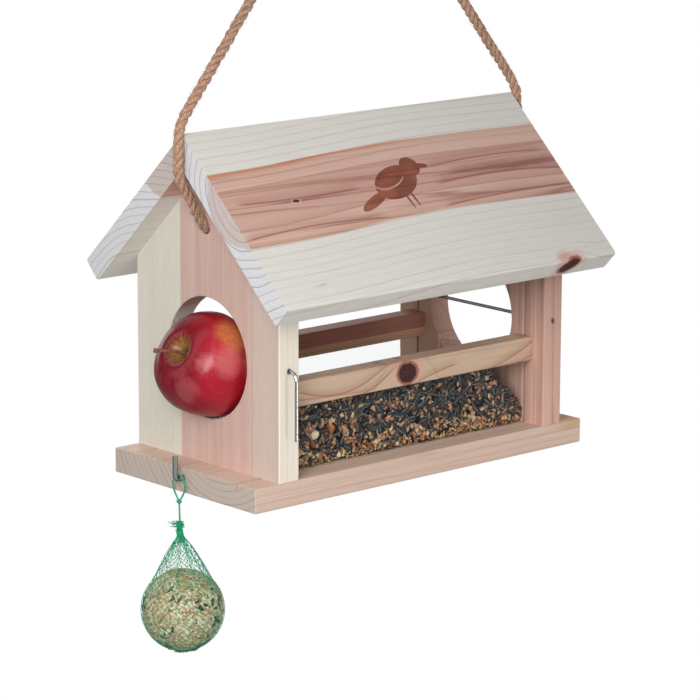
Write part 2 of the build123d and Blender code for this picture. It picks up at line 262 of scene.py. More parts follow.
def softwood(
    name,
    grain,
    pith,
    spacing,
    sap,
    warm,
    lean=(0.0, 0.0),
    heart=None,
    heart_centre=None,
    border=0.0,
    sap_line=(SAP_LINE, 0.6),
    warm_line=(LINE, 0.5),
    deep=HEART_DEEP,
    tone=0.25,
    wander=1.5,
    staves=(),
    knots=(),
    stains=(),
    end=END_GREY,
    mark=None,
    offset=0.0,
    veins=0.35,
    sweeps=(),
    painted_falloff=(0.0, 1.0, 1.0),
    bow=(0.0, 0.0),
):
    """Sawn softwood. The rings are cylinders round a pith line that runs along the grain axis.

    pith is the line's place across the grain in mm at the board's middle, and lean its slope.
    heart is the radius where warm heartwood meets pale sapwood; with none the board is all warm.
    staves are (axis, edge in mm, colour, past) for panels glued from strips.
    knots are spots; stains are (spot, colour, strength). veins is the strength of the thin wandering
    lines in the heartwood, and sweeps are bold lines, each through three points in (x, z).
    fade is (from, to, shade at to) along the grain: painted shade, darker where the light falls off. bow is how far
    the grain bends aside mid-board.
    """
    g = Graph(name)
    across = [a for a in (X, Y, Z) if a != grain]
    stretch = [1.0, 1.0, 1.0]
    stretch[grain] = 0.07
    along = g.vector("MULTIPLY", g.vector("ADD", g.place, (offset, offset * 0.7, offset * 1.3)), tuple(stretch))
    drift = g.scaled(g.wave_noise(along, 26.0, 1.0), 2 * wander * MM)
    ripple = g.scaled(g.wave_noise(along, 150.0, 1.0), 0.5 * MM)
    shear = [0.0, 0.0, 0.0]
    centre = [0.0, 0.0, 0.0]
    flat = [1.0, 1.0, 1.0]
    flat[grain] = 0.0
    for axis, value, slope in zip(across, pith, lean):
        centre[axis] = value * MM
        shear[axis] = slope
    run = g.parts(g.place)[grain]
    moving = g.vector("ADD", tuple(centre), g.scaled(tuple(shear), run))
    bent = [0.0, 0.0, 0.0]
    for axis, value in zip(across, bow):
        bent[axis] = value * MM
    arch = g.smooth(g.math("ABSOLUTE", g.math("SUBTRACT", run, 25 * MM)), 150 * MM, 0.0)
    moving = g.vector("ADD", moving, g.scaled(tuple(bent), arch))
    spoke = g.vector("SUBTRACT", g.vector("ADD", g.place, g.vector("ADD", drift, ripple)), moving)
    radius = g.vector("LENGTH", g.vector("MULTIPLY", spoke, tuple(flat)))
    distances = [spot_distance(g, k, 0.5) for k in knots]
    ring = g.math("DIVIDE", radius, spacing * MM)
    for distance in distances:
        ring = g.math("ADD", ring, g.smooth(distance, 4.2, 0.8, 0.0, 1.3))
    ring = g.math("ADD", ring, g.math("MULTIPLY", g.noise(along, 40.0, 1.0).outputs[0], 0.9))
    for axis, edge, _, _ in staves:
        ring = g.math("ADD", ring, g.math("MULTIPLY", g.math("GREATER_THAN", g.parts(g.place)[axis], edge * MM), 0.43))
    phase = g.math("FRACT", ring)
    late = g.ramp(phase, (0.0, 0.0), (0.70, 0.03), (0.88, 0.26), (0.945, 1.0), (0.975, 0.4), (1.0, 0.0))
    whole = g.math("FLOOR", ring)
    lots = g.add("ShaderNodeTexWhiteNoise", {"W": whole}, noise_dimensions="1D").outputs
    late = g.math("MULTIPLY", late, g.smooth(lots["Value"], 0.0, 1.0, 0.3, 1.0))
    broken = g.noise(along, 70.0, 2.0).outputs[0]
    late = g.math("MULTIPLY", late, g.smooth(broken, 0.3, 0.6, 0.45, 1.0))
    second = g.parts(lots["Color"])[1]

    # each growth ring of the heartwood has its own depth of colour
    blotch = g.noise(along, 45.0, 2.0).outputs[0]
    tint = g.math("ADD", g.math("MULTIPLY", second, 0.6), g.math("MULTIPLY", blotch, 0.8))
    rich = g.mix(g.smooth(tint, 0.35, 1.0, 0.0, tone * 2), warm, deep)
    rich = g.mix(g.smooth(phase, 0.35, 1.0, 0.0, 0.16), rich, deep)
    vein_strength = g.smooth(g.noise(along, 55.0, 1.0).outputs[0], 0.35, 0.6, 0.25 * veins, veins)
    slow = [1.0, 1.0, 1.0]
    slow[grain] = 0.016
    course = g.vector("ADD", g.vector("MULTIPLY", g.place, tuple(slow)), g.vector("ADD", g.scaled(drift, 0.5), ripple))
    course = g.math("FRACT", g.math("MULTIPLY", g.noise(course, 55.0, 2.0, 0.4).outputs[0], 9.0))
    vein = g.ramp(course, (0.0, 0.0), (0.55, 0.05), (0.84, 0.25), (0.93, 1.0), (0.97, 0.5), (1.0, 0.0))
    rich = g.mix(g.math("MULTIPLY", vein, vein_strength), rich, warm_line[0])
    if heart is None:
        inside = 1.0
        colour = rich
    else:
        reach = radius
        if heart_centre is not None:
            middle = [0.0, 0.0, 0.0]
            for axis, value in zip(across, heart_centre):
                middle[axis] = value * MM
            reach = g.vector("SUBTRACT", g.vector("ADD", g.place, g.scaled(drift, 3.0)), tuple(middle))
            reach = g.vector("LENGTH", g.vector("MULTIPLY", reach, tuple(flat)))
        depth = g.math("SUBTRACT", heart * MM, reach)
        edge_wander = g.math("SUBTRACT", g.noise(along, 60.0, 2.0).outputs[0], 0.5)
        depth = g.math("ADD", depth, g.math("MULTIPLY", edge_wander, 7.0 * MM))
        inside = g.smooth(depth, -0.9 * MM, 0.9 * MM)
        pale = g.mix(g.smooth(blotch, 0.35, 0.7, 0.0, 0.35), sap, SAP_WARM)
        colour = g.mix(inside, pale, rich)
        ring_band = g.math(
            "MULTIPLY", g.smooth(depth, -0.8 * MM, 0.4 * MM), g.smooth(depth, 4.0 * MM, 0.4 * MM)
        )
        dark_side = g.smooth(g.parts(spoke)[across[1]], -4 * MM, 6 * MM, 0.3, 1.0) if border > 0 else 1.0
        dark_side = g.math("MULTIPLY", dark_side, g.smooth(run, -20 * MM, 60 * MM, 1.0, 0.25))
        colour = g.mix(g.math("MULTIPLY", g.math("MULTIPLY", ring_band, dark_side), abs(border)), colour, BORDER)
    for axis, edge, stave, past in staves:
        coordinate = g.parts(g.place)[axis]
        over = g.smooth(coordinate, (edge - 0.15) * MM, (edge + 0.15) * MM)
        if not past:
            over = g.math("SUBTRACT", 1.0, over)
        dim = tuple(c * 0.86 for c in stave)
        colour = g.mix(over, colour, g.mix(g.smooth(blotch, 0.3, 0.75, 0.0, 0.3), stave, dim))
        seam = g.smooth(g.math("ABSOLUTE", g.math("SUBTRACT", coordinate, edge * MM)), 0.45 * MM, 0.0)
        colour = g.mix(g.math("MULTIPLY", seam, 0.5), colour, LINE)
    for points in sweeps:
        square, slope, level = np.polyfit([p[0] for p in points], [p[1] for p in points], 2)
        x, _, z = g.parts(g.vector("ADD", g.place, g.scaled(g.wave_noise(along, 60.0), 5 * MM)))[0:3]
        curve = g.math("MULTIPLY_ADD", g.math("MULTIPLY_ADD", x, square / MM, slope), x, level * MM)
        away = g.math("SUBTRACT", z, curve)
        inside_run = g.math(
            "MULTIPLY",
            g.smooth(x, (points[0][0] - 6) * MM, (points[0][0] + 8) * MM),
            g.smooth(x, (points[2][0] + 6) * MM, (points[2][0] - 8) * MM),
        )
        line = g.math("MULTIPLY", g.smooth(g.math("ABSOLUTE", away), 0.75 * MM, 0.1 * MM, 0.0, 0.8), inside_run)
        glow = g.math("MULTIPLY", g.smooth(away, 7 * MM, 0.0), g.smooth(away, -1.0 * MM, 0.0))
        colour = g.mix(g.math("MULTIPLY", g.math("MULTIPLY", glow, inside_run), 0.35), colour, warm_line[0])
        colour = g.mix(line, colour, warm_line[0])

    # ring lines, fine fibre
    lines = g.mix(inside, sap_line[0], warm_line[0])
    strength = g.math("ADD", sap_line[1], g.math("MULTIPLY", inside, warm_line[1] - sap_line[1]))
    colour = g.mix(g.math("MULTIPLY", late, strength), colour, lines)
    thin = [1.0, 1.0, 1.0]
    thin[grain] = 0.02
    fibre = g.noise(g.vector("MULTIPLY", g.place, tuple(thin)), 2200.0, 3.0, 0.6).outputs[0]
    colour = g.shade(colour, g.smooth(fibre, 0.25, 0.75, 0.93, 1.04))
    # painted shade: darker along the grain where the light falls off on this board
    colour = g.shade(colour, g.smooth(run, painted_falloff[0] * MM, (painted_falloff[1]) * MM, 1.0, painted_falloff[2]))

    # end grain
    facing = g.math("ABSOLUTE", g.parts(g.add("ShaderNodeTexCoord").outputs["Normal"])[grain])
    ends = g.smooth(facing, 0.5, 0.9)
    pores = g.noise(g.place, 1300.0, 3.0, 0.7).outputs[0]
    cut = g.mix(g.math("MULTIPLY", inside, 0.55), end, tuple(c * 0.72 for c in warm))
    cut = g.shade(cut, g.smooth(pores, 0.3, 0.75, 0.86, 1.03))
    end_late = g.ramp(phase, (0.0, 0.0), (0.66, 0.04), (0.88, 0.2), (0.945, 1.0), (0.975, 0.4), (1.0, 0.0))
    end_late = g.math("MULTIPLY", end_late, g.smooth(lots["Value"], 0.0, 1.0, 0.5, 1.0))
    cut = g.mix(end_late, cut, END_LINE)
    colour = g.mix(ends, colour, cut)

    for spot, stain, amount in stains:
        distance = spot_distance(g, spot, 1.0)
        patchy = g.smooth(g.noise(along, 210.0, 3.0).outputs[0], 0.35, 0.6, 0.35, 1.0)
        colour = g.mix(g.math("MULTIPLY", g.smooth(distance, 1.25, 0.25, 0.0, amount), patchy), colour, stain)
    colour = paint_knots(g, colour, distances)
    if mark is not None:
        colour = mark(g, colour)
    relief = g.math("ADD", g.math("MULTIPLY", late, 0.5), g.math("MULTIPLY", fibre, 0.6))
    relief = g.math("ADD", relief, g.math("MULTIPLY", g.math("MULTIPLY", ends, pores), 1.4))
    rough = g.smooth(fibre, 0.2, 0.8, 0.55, 0.72)
    return g.surface(colour, rough, relief, 0.14 * MM, Specular_IOR_Level=0.3)


ROOF_PITCH = math.radians(43.6)
RIDGE_Z = 241


def on_front_slope(x, run, out=0.0):
    """Place in mm of a point on the front slope: run down from the ridge, out above the face."""
    drop = Vector((0, -math.cos(ROOF_PITCH), -math.sin(ROOF_PITCH))) * run
    rise = Vector((0, -math.sin(ROOF_PITCH), math.cos(ROOF_PITCH))) * out
    return tuple(Vector((x, 0, RIDGE_Z)) + drop + rise)


SLOPE_TURN = (math.degrees(ROOF_PITCH), 0, 0)
BIRD_SIZE = 1.5
# across, up, half length, half height, turn in degrees: body, head, beak, tail, legs
BIRD_PARTS = (
    (0, -1, 14, 8.2, 20), (13.0, 6.4, 5.4, 5.2, 0), (19.6, 6.0, 3.8, 1.3, -8),
    (-18, -9.5, 10, 2.5, 24), (1.5, -11.5, 0.6, 5, 8), (5.0, -10.5, 0.6, 5, 8),
)
BIRD_WING = ((-3.5, 0.6, 10, 4.4, 16), (-3.1, 1.7, 10, 4.4, 16))


def bird_mark(g, colour):
    """A plain little bird, burned into the middle of the front slope."""
    middle = Vector(on_front_slope(-1, 60)) * MM
    local = g.vector("SUBTRACT", g.place, tuple(middle))
    u = g.vector("DOT_PRODUCT", local, (1.0, 0.0, 0.0))
    v = g.vector("DOT_PRODUCT", local, (0.0, math.cos(ROOF_PITCH), math.sin(ROOF_PITCH)))

    def oval(cx, cy, rx, ry, turn):
        c, s = math.cos(math.radians(turn)), math.sin(math.radians(turn))
        rx, ry = rx * BIRD_SIZE * MM, ry * BIRD_SIZE * MM
        du = g.math("SUBTRACT", u, cx * BIRD_SIZE * MM)
        dv = g.math("SUBTRACT", v, cy * BIRD_SIZE * MM)
        a = g.math("ADD", g.math("MULTIPLY", du, c / rx), g.math("MULTIPLY", dv, s / rx))
        b = g.math("SUBTRACT", g.math("MULTIPLY", dv, c / ry), g.math("MULTIPLY", du, s / ry))
        return g.math("ADD", g.math("MULTIPLY", a, a), g.math("MULTIPLY", b, b))

    shape = oval(*BIRD_PARTS[0])
    for part in BIRD_PARTS[1:]:
        shape = g.math("MINIMUM", shape, oval(*part))
    outer, inner = (g.smooth(oval(*wing), 1.06, 0.96) for wing in BIRD_WING)
    rim = g.math("MULTIPLY", outer, g.math("SUBTRACT", 1.0, inner))
    burned = g.math("MULTIPLY", g.smooth(shape, 1.05, 0.98), g.math("SUBTRACT", 1.0, g.math("MULTIPLY", rim, 0.9)))
    scorch = g.noise(g.place, 70.0, 3.0).outputs[0]
    brown = g.mix(g.smooth(scorch, 0.3, 0.7), srgb(190, 128, 104), srgb(150, 98, 80))
    return g.mix(g.math("MULTIPLY", burned, 0.95), colour, g.mix(1.0, brown, colour, "MULTIPLY"))


def finish_wood():
    """Every board's own piece of wood."""
    purple = srgb(112, 66, 66)
    wall_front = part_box("end_wall_left")[0][Y] / MM
    rail_middle = sum(corner[Z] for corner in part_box("rail_rear")) / 2 / MM
    rust = srgb(150, 92, 66)
    front = softwood(
        "roof_front_wood", X, (-60.1, 212.8), 5.8, SAP, HEART, lean=(0.0157, 0.0149),
        heart=37.4, border=0.9, mark=bird_mark, tone=0.30, warm_line=(srgb(160, 100, 88), 0.9),
        # painted shade: the roof darkens toward its right end, where the light falls off
        sap_line=(SAP_LINE, 0.62), veins=0.7, painted_falloff=(-40, 160, 0.92), bow=(3.4, 3.2),
        sweeps=[
            ((51, 198.4), (78, 198.8), (149, 199.0)),
            ((-138, 197.8), (-91, 196.3), (-35, 197.2)),
            ((33, 204.7), (78, 206.3), (142, 204.9)),
            ((35, 194.4), (87, 195.4), (155, 193.3)),
            ((30, 181.8), (88, 184.0), (149, 183.3)),
            ((-149, 178.9), (-96, 181.1), (-27, 179.7)),
        ],
        knots=[
            (on_front_slope(107.5, 147.5, -5.5), (8.2, 7.0, 4.8), (0, -34, 0)),
            (on_front_slope(-91.6, 64.7), (2.4, 1.1, 1.1), (0, 0, 0)),
            (on_front_slope(-38, 150, -2), (1.3, 0.8, 0.8), (0, 0, 0)),
            (on_front_slope(-32, 151, -5), (1.3, 0.7, 0.7), (0, 0, 0)),
        ],
        stains=[
            ((on_front_slope(0, 153, -8), (190, 9, 12), (43.6, 0, 0)), srgb(250, 243, 226), 0.9),
            ((on_front_slope(103, 143, 0), (9, 9, 9), (43.6, 0, 0)), srgb(206, 150, 128), 0.75),
            ((on_front_slope(112, 148, -4), (9, 6, 6), (43.6, 0, 0)), srgb(214, 164, 142), 0.6),
            ((on_front_slope(95, 61.4), (62, 1.5, 3.0), (43.6, 0, -0.5)), purple, 0.9),
            ((on_front_slope(-40, 63.5), (60, 3.2, 4.0), (43.6, 0, 1.0)), srgb(150, 88, 84), 0.55),
            ((on_front_slope(120, 60.5), (70, 5.0, 5.0), (43.6, 0, -1.5)), srgb(150, 96, 92), 0.75),
            ((on_front_slope(-92, 64.7), (26, 1.1, 2.0), (43.6, 0, 0)), purple, 0.5),
            ((on_front_slope(-60, 88), (90, 1.0, 2.0), (43.6, 0, -1)), srgb(160, 104, 92), 0.7),
            ((on_front_slope(60, 82), (100, 1.1, 2.0), (43.6, 0, -1)), srgb(160, 104, 92), 0.55),
            ((on_front_slope(-105, 142, -6), (9, 2, 4), (0, 0, 4)), srgb(196, 156, 132), 0.8),
            ((on_front_slope(-112, 131.9), (8, 1.2, 2), (43.6, 0, 5)), srgb(196, 160, 136), 0.8),
        ],
    )
    rear = softwood(
        "roof_rear_wood", X, (20, 70), 4.9, SAP, ORANGE_PINK, heart=66, heart_centre=(-6, 256), border=-0.5,
        offset=3.1, knots=[((-62, 70, 175), (6.0, 4.4, 4.4), (0, 0, 10))], tone=0.2,
    )
    base = softwood(
        "base_wood", X, (-38, 62), 4.6, PALE_PINK, srgb(232, 207, 189), warm_line=(LINE, 0.42), tone=0.12,
        deep=srgb(206, 160, 142), end=END_WARM, offset=1.7, veins=0.22,
        knots=[((58, 60, 17), (7.5, 5.0, 9.0), (0, 0, 15))],
        stains=[(((146, -62, 15), (26, 22, 7), (0, 0, 0)), srgb(206, 158, 98), 0.8)],
    )
    left = softwood(
        "left_wall_wood", Z, (60, -320), 2.7, PALE_PINK, PINK, warm_line=(LINE, 0.34), tone=0.14,
        # painted shade: the left wall darkens a little toward the top
        deep=srgb(204, 156, 142), wander=1.0, offset=5.2, veins=0.25, end=srgb(196, 164, 152), painted_falloff=(20, 175, 0.93),
        staves=[
            (Y, -47, srgb(219, 199, 188), False),
            (Y, 26.8, SAP_WARM, True),
            (Y, wall_front + 1.0, srgb(252, 242, 226), False),
        ],
        # painted shade: dark spot round the skewer bore on the front edge, where the hole reads dark
        stains=[(((-121, wall_front, 91), (2.4, 4, 2.4), (0, 0, 0)), srgb(70, 46, 40), 0.9)],
    )
    right = softwood(
        "right_wall_wood", Z, (40, -300), 3.1, PINK, srgb(244, 206, 190), warm_line=(LINE, 0.65), tone=0.3,
        deep=srgb(196, 138, 120), wander=1.2, offset=7.7, staves=[(Y, 34, srgb(216, 176, 156), True)],
        # painted shade: the right wall darkens strongly toward the top, under the roof
        veins=0.6, end=srgb(196, 164, 150), painted_falloff=(20, 170, 0.66),
        # painted shade: dark spot round the skewer bore on the front edge, where the hole reads dark
        stains=[(((121, wall_front, 91), (2.6, 4, 2.6), (0, 0, 0)), srgb(60, 38, 34), 0.95)],
    )
    rail_front = softwood(
        "front_rail_wood", X, (-38, 100), 12.0, TAN, srgb(214, 188, 164), warm_line=(srgb(166, 116, 90), 0.75),
        deep=srgb(214, 176, 148), tone=0.15, wander=8.0, offset=2.3, veins=0.35,
        knots=[((-5.8, -61, 71.0), (7.8, 30, 6.4), (0, 0, 0))],
        sweeps=[
            ((-104, 73), (-66, 66), (-20, 82)),
            ((-120, 66), (-62, 59), (-14, 78)),
            ((34, 55), (84, 66), (120, 79)),
            ((60, 56), (96, 62), (124, 72)),
            ((-6, 60), (12, 66), (40, 71)),
        ],
    )
    rail_rear = softwood(
        "rear_rail_wood", X, (60, 40), 5.0, RED_BROWN, RED_BROWN, warm_line=(srgb(130, 80, 66), 0.6),
        deep=srgb(176, 116, 98), tone=0.35, wander=3.0, offset=9.3,
        staves=[(Z, rail_middle - 2, srgb(224, 178, 144), False)],
    )
    dowel = softwood("dowel_wood", X, (0, 80), 2.4, TAN, TAN, tone=0.1, wander=1.0, offset=4.4)
    return {
        "roof_board_front": front,
        "roof_board_rear": rear,
        "base_board": base,
        "end_wall_left": left,
        "end_wall_right": right,
        "rail_front": rail_front,
        "rail_rear": rail_rear,
        "rail_dowels": dowel,
    }


# =============================================================================
# steel and acrylic
# =============================================================================
def bright_steel(name, tint, rough):
    """Zinc-plated wire: drawing lines, tiny scuffs and a little dulling."""
    g = Graph(name)
    fine = g.noise(g.place, 900.0, 4.0, 0.7).outputs[0]
    scuff = g.noise(g.vector("MULTIPLY", g.place, (1.0, 0.2, 1.0)), 2400.0, 2.0).outputs[0]
    colour = g.mix(g.smooth(fine, 0.35, 0.75), tint, tuple(c * 0.8 for c in tint))
    # painted reflection: colour bright face-on, dark toward the sides, a little lighter again at the rim
    slant = g.add("ShaderNodeLayerWeight", {"Blend": 0.5}).outputs["Facing"]
    colour = g.shade(colour, g.ramp(slant, (0.0, 1.0), (0.10, 1.0), (0.28, 0.42), (0.60, 0.16), (1.0, 0.5)))
    roughness = g.smooth(fine, 0.3, 0.8, rough, rough + 0.12)
    return g.surface(colour, roughness, scuff, 0.004 * MM, Metallic=1.0)


def clear_acrylic():
    """Clear sheet: nearly invisible face-on, with a faint sheen, haze and fine scratches."""
    g = Graph("clear_acrylic")
    haze = g.noise(g.place, 60.0, 3.0).outputs[0]
    scratch = g.noise(g.vector("MULTIPLY", g.place, (0.2, 1.0, 1.0)), 1800.0, 2.0).outputs[0]
    relief = g.add("ShaderNodeBump", {"Strength": 0.2, "Distance": 0.02 * MM, "Height": scratch})
    clear = g.add("ShaderNodeBsdfTransparent", {"Color": (0.975, 0.982, 0.980)})
    shine = g.add(
        "ShaderNodeBsdfGlossy",
        {"Color": (1.0, 1.0, 1.0), "Roughness": g.smooth(haze, 0.3, 0.8, 0.03, 0.12), "Normal": relief.outputs[0]},
    )
    rim = g.add("ShaderNodeFresnel", {"IOR": 1.45}).outputs[0]
    entering = g.math("SUBTRACT", 1.0, g.add("ShaderNodeNewGeometry").outputs["Backfacing"])
    share = g.math("MULTIPLY", g.math("MULTIPLY", rim, entering), 0.6)
    both = g.add("ShaderNodeMixShader", {0: share, 1: clear.outputs[0], 2: shine.outputs[0]})
    out = g.add("ShaderNodeOutputMaterial")
    g.tree.links.new(both.outputs[0], out.inputs[0])
    return g.material


def paint_cad(materials):
    """Gives each CAD node that stays its material."""
    for node, material in materials.items():
        mesh = nodes[node].data
        mesh.materials.clear()
        mesh.materials.append(material)


# =============================================================================
# meshes from arrays
# =============================================================================
def mesh_piece(name, points, faces, material, body=None, smooth=True, colours=None, values=None, vectors=None):
    """A mesh object from arrays; colours, values and vectors become point attributes."""
    mesh = bpy.data.meshes.new(name)
    mesh.from_pydata([tuple(p) for p in np.asarray(points, float)], [], [tuple(map(int, f)) for f in faces])
    mesh.validate()
    for key, data in (colours or {}).items():
        layer = mesh.attributes.new(key, "FLOAT_COLOR", "POINT")
        rgba = np.ones((len(points), 4), np.float32)
        rgba[:, :3] = data
        layer.data.foreach_set("color", rgba.ravel())
    for key, data in (values or {}).items():
        layer = mesh.attributes.new(key, "FLOAT", "POINT")
        layer.data.foreach_set("value", np.asarray(data, np.float32))
    for key, data in (vectors or {}).items():
        layer = mesh.attributes.new(key, "FLOAT_VECTOR", "POINT")
        layer.data.foreach_set("vector", np.asarray(data, np.float32).ravel())
    mesh.polygons.foreach_set("use_smooth", [smooth] * len(mesh.polygons))
    mesh.materials.append(material)
    piece = bpy.data.objects.new(name, mesh)
    bpy.context.scene.collection.objects.link(piece)
    if body is not None:
        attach(piece, body)
    return piece


def catmull_rom(points, steps):
    """Points along a Catmull-Rom curve through the given ones."""
    p = np.asarray(points, float)
    p = np.vstack([2 * p[0] - p[1], p, 2 * p[-1] - p[-2]])
    dense = []
    for a, b, c, d in zip(p[:-3], p[1:-2], p[2:-1], p[3:]):
        for t in np.linspace(0, 1, steps, endpoint=False):
            square = (2 * a - 5 * b + 4 * c - d) * t**2
            cube = (3 * b - a - 3 * c + d) * t**3
            dense.append(0.5 * (2 * b + (c - a) * t + square + cube))
    dense.append(p[-2])
    return np.array(dense)


def resample(points, step):
    """Evenly spaced points along a smooth curve through the given ones, and their distances."""
    dense = catmull_rom(points, 24)
    run = np.concatenate([[0], np.cumsum(np.linalg.norm(np.diff(dense, axis=0), axis=1))])
    places = np.linspace(0, run[-1], max(3, int(run[-1] / step) + 1))
    return np.stack([np.interp(places, run, dense[:, i]) for i in range(3)], 1), places


def unit(v):
    return v / np.maximum(np.linalg.norm(v, axis=-1, keepdims=True), 1e-12)


def carried_frame(path):
    """Tangent and two sides at each point, turning as little as possible along the way."""
    tangent = unit(np.gradient(path, axis=0))
    side = np.zeros_like(path)
    first = np.cross(tangent[0], (0.13, 0.98, 0.11))
    side[0] = unit(first)
    for i in range(1, len(path)):
        s = side[i - 1] - np.dot(side[i - 1], tangent[i]) * tangent[i]
        side[i] = unit(s)
    return tangent, side, np.cross(tangent, side)


def tube(path, radius, sides, lobes=None):
    """Points and faces of a tube; radius may vary, and lobes(i, angle) swells it."""
    _, side, up = carried_frame(path)
    turn = np.linspace(0, 2 * np.pi, sides, endpoint=False)
    radius = np.broadcast_to(np.asarray(radius, float), (len(path),))
    swell = np.ones((len(path), sides)) if lobes is None else lobes(np.arange(len(path))[:, None], turn[None, :])
    ring = (
        side[:, None, :] * np.cos(turn)[None, :, None] + up[:, None, :] * np.sin(turn)[None, :, None]
    ) * (radius[:, None] * swell)[:, :, None]
    points = (path[:, None, :] + ring).reshape(-1, 3)
    faces = []
    for i in range(len(path) - 1):
        a, b = i * sides, (i + 1) * sides
        faces += [(a + j, a + (j + 1) % sides, b + (j + 1) % sides, b + j) for j in range(sides)]
    faces.append(tuple(range(sides))[::-1])
    last = (len(path) - 1) * sides
    faces.append(tuple(last + j for j in range(sides)))
    return points, faces


def merge(parts):
    """Joins (points, faces) pairs into one."""
    points, faces, start = [], [], 0
    for p, f in parts:
        points.append(p)
        faces += [tuple(start + i for i in face) for face in f]
        start += len(p)
    return np.vstack(points), faces


# =============================================================================
# rope
# =============================================================================
ROPE_R = 3.5 * MM
ROPE_LAY = 19.0 * MM       # length of one full turn of a strand
ROPE_STRANDS = 3
ROPE_STEP = 0.9 * MM
HAIRS = 1500


def jute():
    g = Graph("jute")
    along = g.attribute("along").outputs["Fac"]
    around = g.attribute("around").outputs["Fac"]
    yarn = g.math("SINE", g.math("ADD", g.math("MULTIPLY", around, 9.0), g.math("MULTIPLY", along, 1500.0)))
    fuzz = g.noise(g.place, 900.0, 4.0, 0.7).outputs[0]
    colour = g.mix(g.smooth(fuzz, 0.3, 0.72), srgb(160, 112, 86), srgb(222, 182, 154))
    colour = g.shade(colour, g.smooth(yarn, -1.0, 0.6, 0.72, 1.05))
    depth = g.attribute("depth").outputs["Fac"]
    # painted shade: darker deep in the grooves between the strands
    colour = g.shade(colour, g.smooth(depth, 0.0, 1.0, 0.22, 1.04))
    relief = g.math("ADD", g.math("MULTIPLY", yarn, 0.3), fuzz)
    return g.surface(colour, 0.85, relief, 0.25 * MM, Sheen_Weight=0.25, Sheen_Roughness=0.5)


def rope_course():
    """The rope's middle line from the left knot, over the roof, to the right knot."""
    hinge = joint("house_swing")["pos_m"][Z]
    low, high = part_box("rope_loop")
    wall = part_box("end_wall_left")
    hole_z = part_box("rope_end_left")[0][Z] + 8.5 * MM
    bend_x = -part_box("rope_end_left")[0][X] - ROPE_R
    out = -wall[0][X]
    inside = -wall[1][X]
    top = high[Z] - ROPE_R
    half = [
        (inside - 4 * MM, 0, hole_z),
        (inside + 4 * MM, 0, hole_z),
        (out - 2 * MM, 0, hole_z),
        (out + 3.0 * MM, 0, hole_z + 2.8 * MM),
        (out + 9.0 * MM, -0.6 * MM, hole_z + 12 * MM),
        (out + 16.5 * MM, -1.6 * MM, hole_z + 25 * MM),
        (bend_x - 0.6 * MM, -2.0 * MM, hole_z + 37 * MM),
        (bend_x - 0.5 * MM, -2.0 * MM, hole_z + 52 * MM),
        (bend_x - 1.0 * MM, -1.4 * MM, hinge - 2.0 * MM),
        (bend_x - 4.5 * MM, -0.8 * MM, hinge + 6.5 * MM),
        (bend_x - 13 * MM, -0.4 * MM, hinge + 18.0 * MM),
        (bend_x - 60 * MM, 0, hinge + 76 * MM),
        (25 * MM, 0, top - 17 * MM),
        (14 * MM, 0, top - 4.5 * MM),
    ]
    left = [(-x, y, z) for x, y, z in half]
    return left + [(0, 0, top)] + half[::-1], (inside, hole_z)


def rope_strands(path, radius, lay, phase=0.0):
    """Strands laid round a path, with the attributes that the jute material reads."""
    run = np.concatenate([[0], np.cumsum(np.linalg.norm(np.diff(path, axis=0), axis=1))])
    _, side, up = carried_frame(path)
    parts, along, around, depth = [], [], [], []
    sides = 14
    turn = np.linspace(0, 2 * np.pi, sides, endpoint=False)
    for k in range(ROPE_STRANDS):
        angle = 2 * np.pi * (run / lay + k / ROPE_STRANDS) + phase
        out = side * np.cos(angle)[:, None] + up * np.sin(angle)[:, None]
        wobble = 1 + 0.05 * np.sin(run / (3.7 * MM) + 2 * k) + 0.04 * np.sin(run / (1.9 * MM) + k)
        centre = path + out * (radius * 0.47) * wobble[:, None]

        def lobes(i, a, k=k):
            return 1 + 0.07 * np.sin(5 * a + i * 0.55 + k)

        p, f = tube(centre, radius * 0.53 * wobble, sides, lobes)
        away = np.linalg.norm(p.reshape(len(path), sides, 3) - path[:, None, :], axis=2) / radius
        parts.append((p, f))
        along.append(np.repeat(run, sides))
        around.append(np.tile(turn, len(path)))
        # depth is 0 deep in the grooves and 1 on the strand crowns; the jute material paints shade from it
        depth.append(np.clip((away.ravel() - 0.45) / 0.5, 0, 1))
    points, faces = merge(parts)
    return points, faces, {k: np.concatenate(v) for k, v in (("along", along), ("around", around), ("depth", depth))}


def hairs(path, radius, count, rng, length=(1.6, 5.0), thick=0.07):
    """Loose fibres standing off a rope."""
    tangent, side, up = carried_frame(path)
    parts = []
    for _ in range(count):
        i = rng.integers(2, len(path) - 2)
        angle = rng.uniform(0, 2 * np.pi)
        out = side[i] * math.cos(angle) + up[i] * math.sin(angle)
        lean = unit(out * rng.uniform(0.15, 0.6) + tangent[i] * rng.choice([-1, 1]) + np.cross(tangent[i], out) * 0.7)
        size = rng.uniform(*length) * MM
        start = path[i] + out * radius * 0.9
        steps = np.linspace(0, 1, 4)[:, None]
        curl = out * (steps * (1 - steps)) * size * rng.uniform(0.1, 0.7)
        line = start + lean * size * steps + curl
        parts.append(tube(line, thick * MM * np.array([1, 0.9, 0.7, 0.3]), 3))
    points, faces = merge(parts)
    fill = {"along": np.zeros(len(points)), "around": np.zeros(len(points)), "depth": np.full(len(points), 0.9)}
    return points, faces, fill


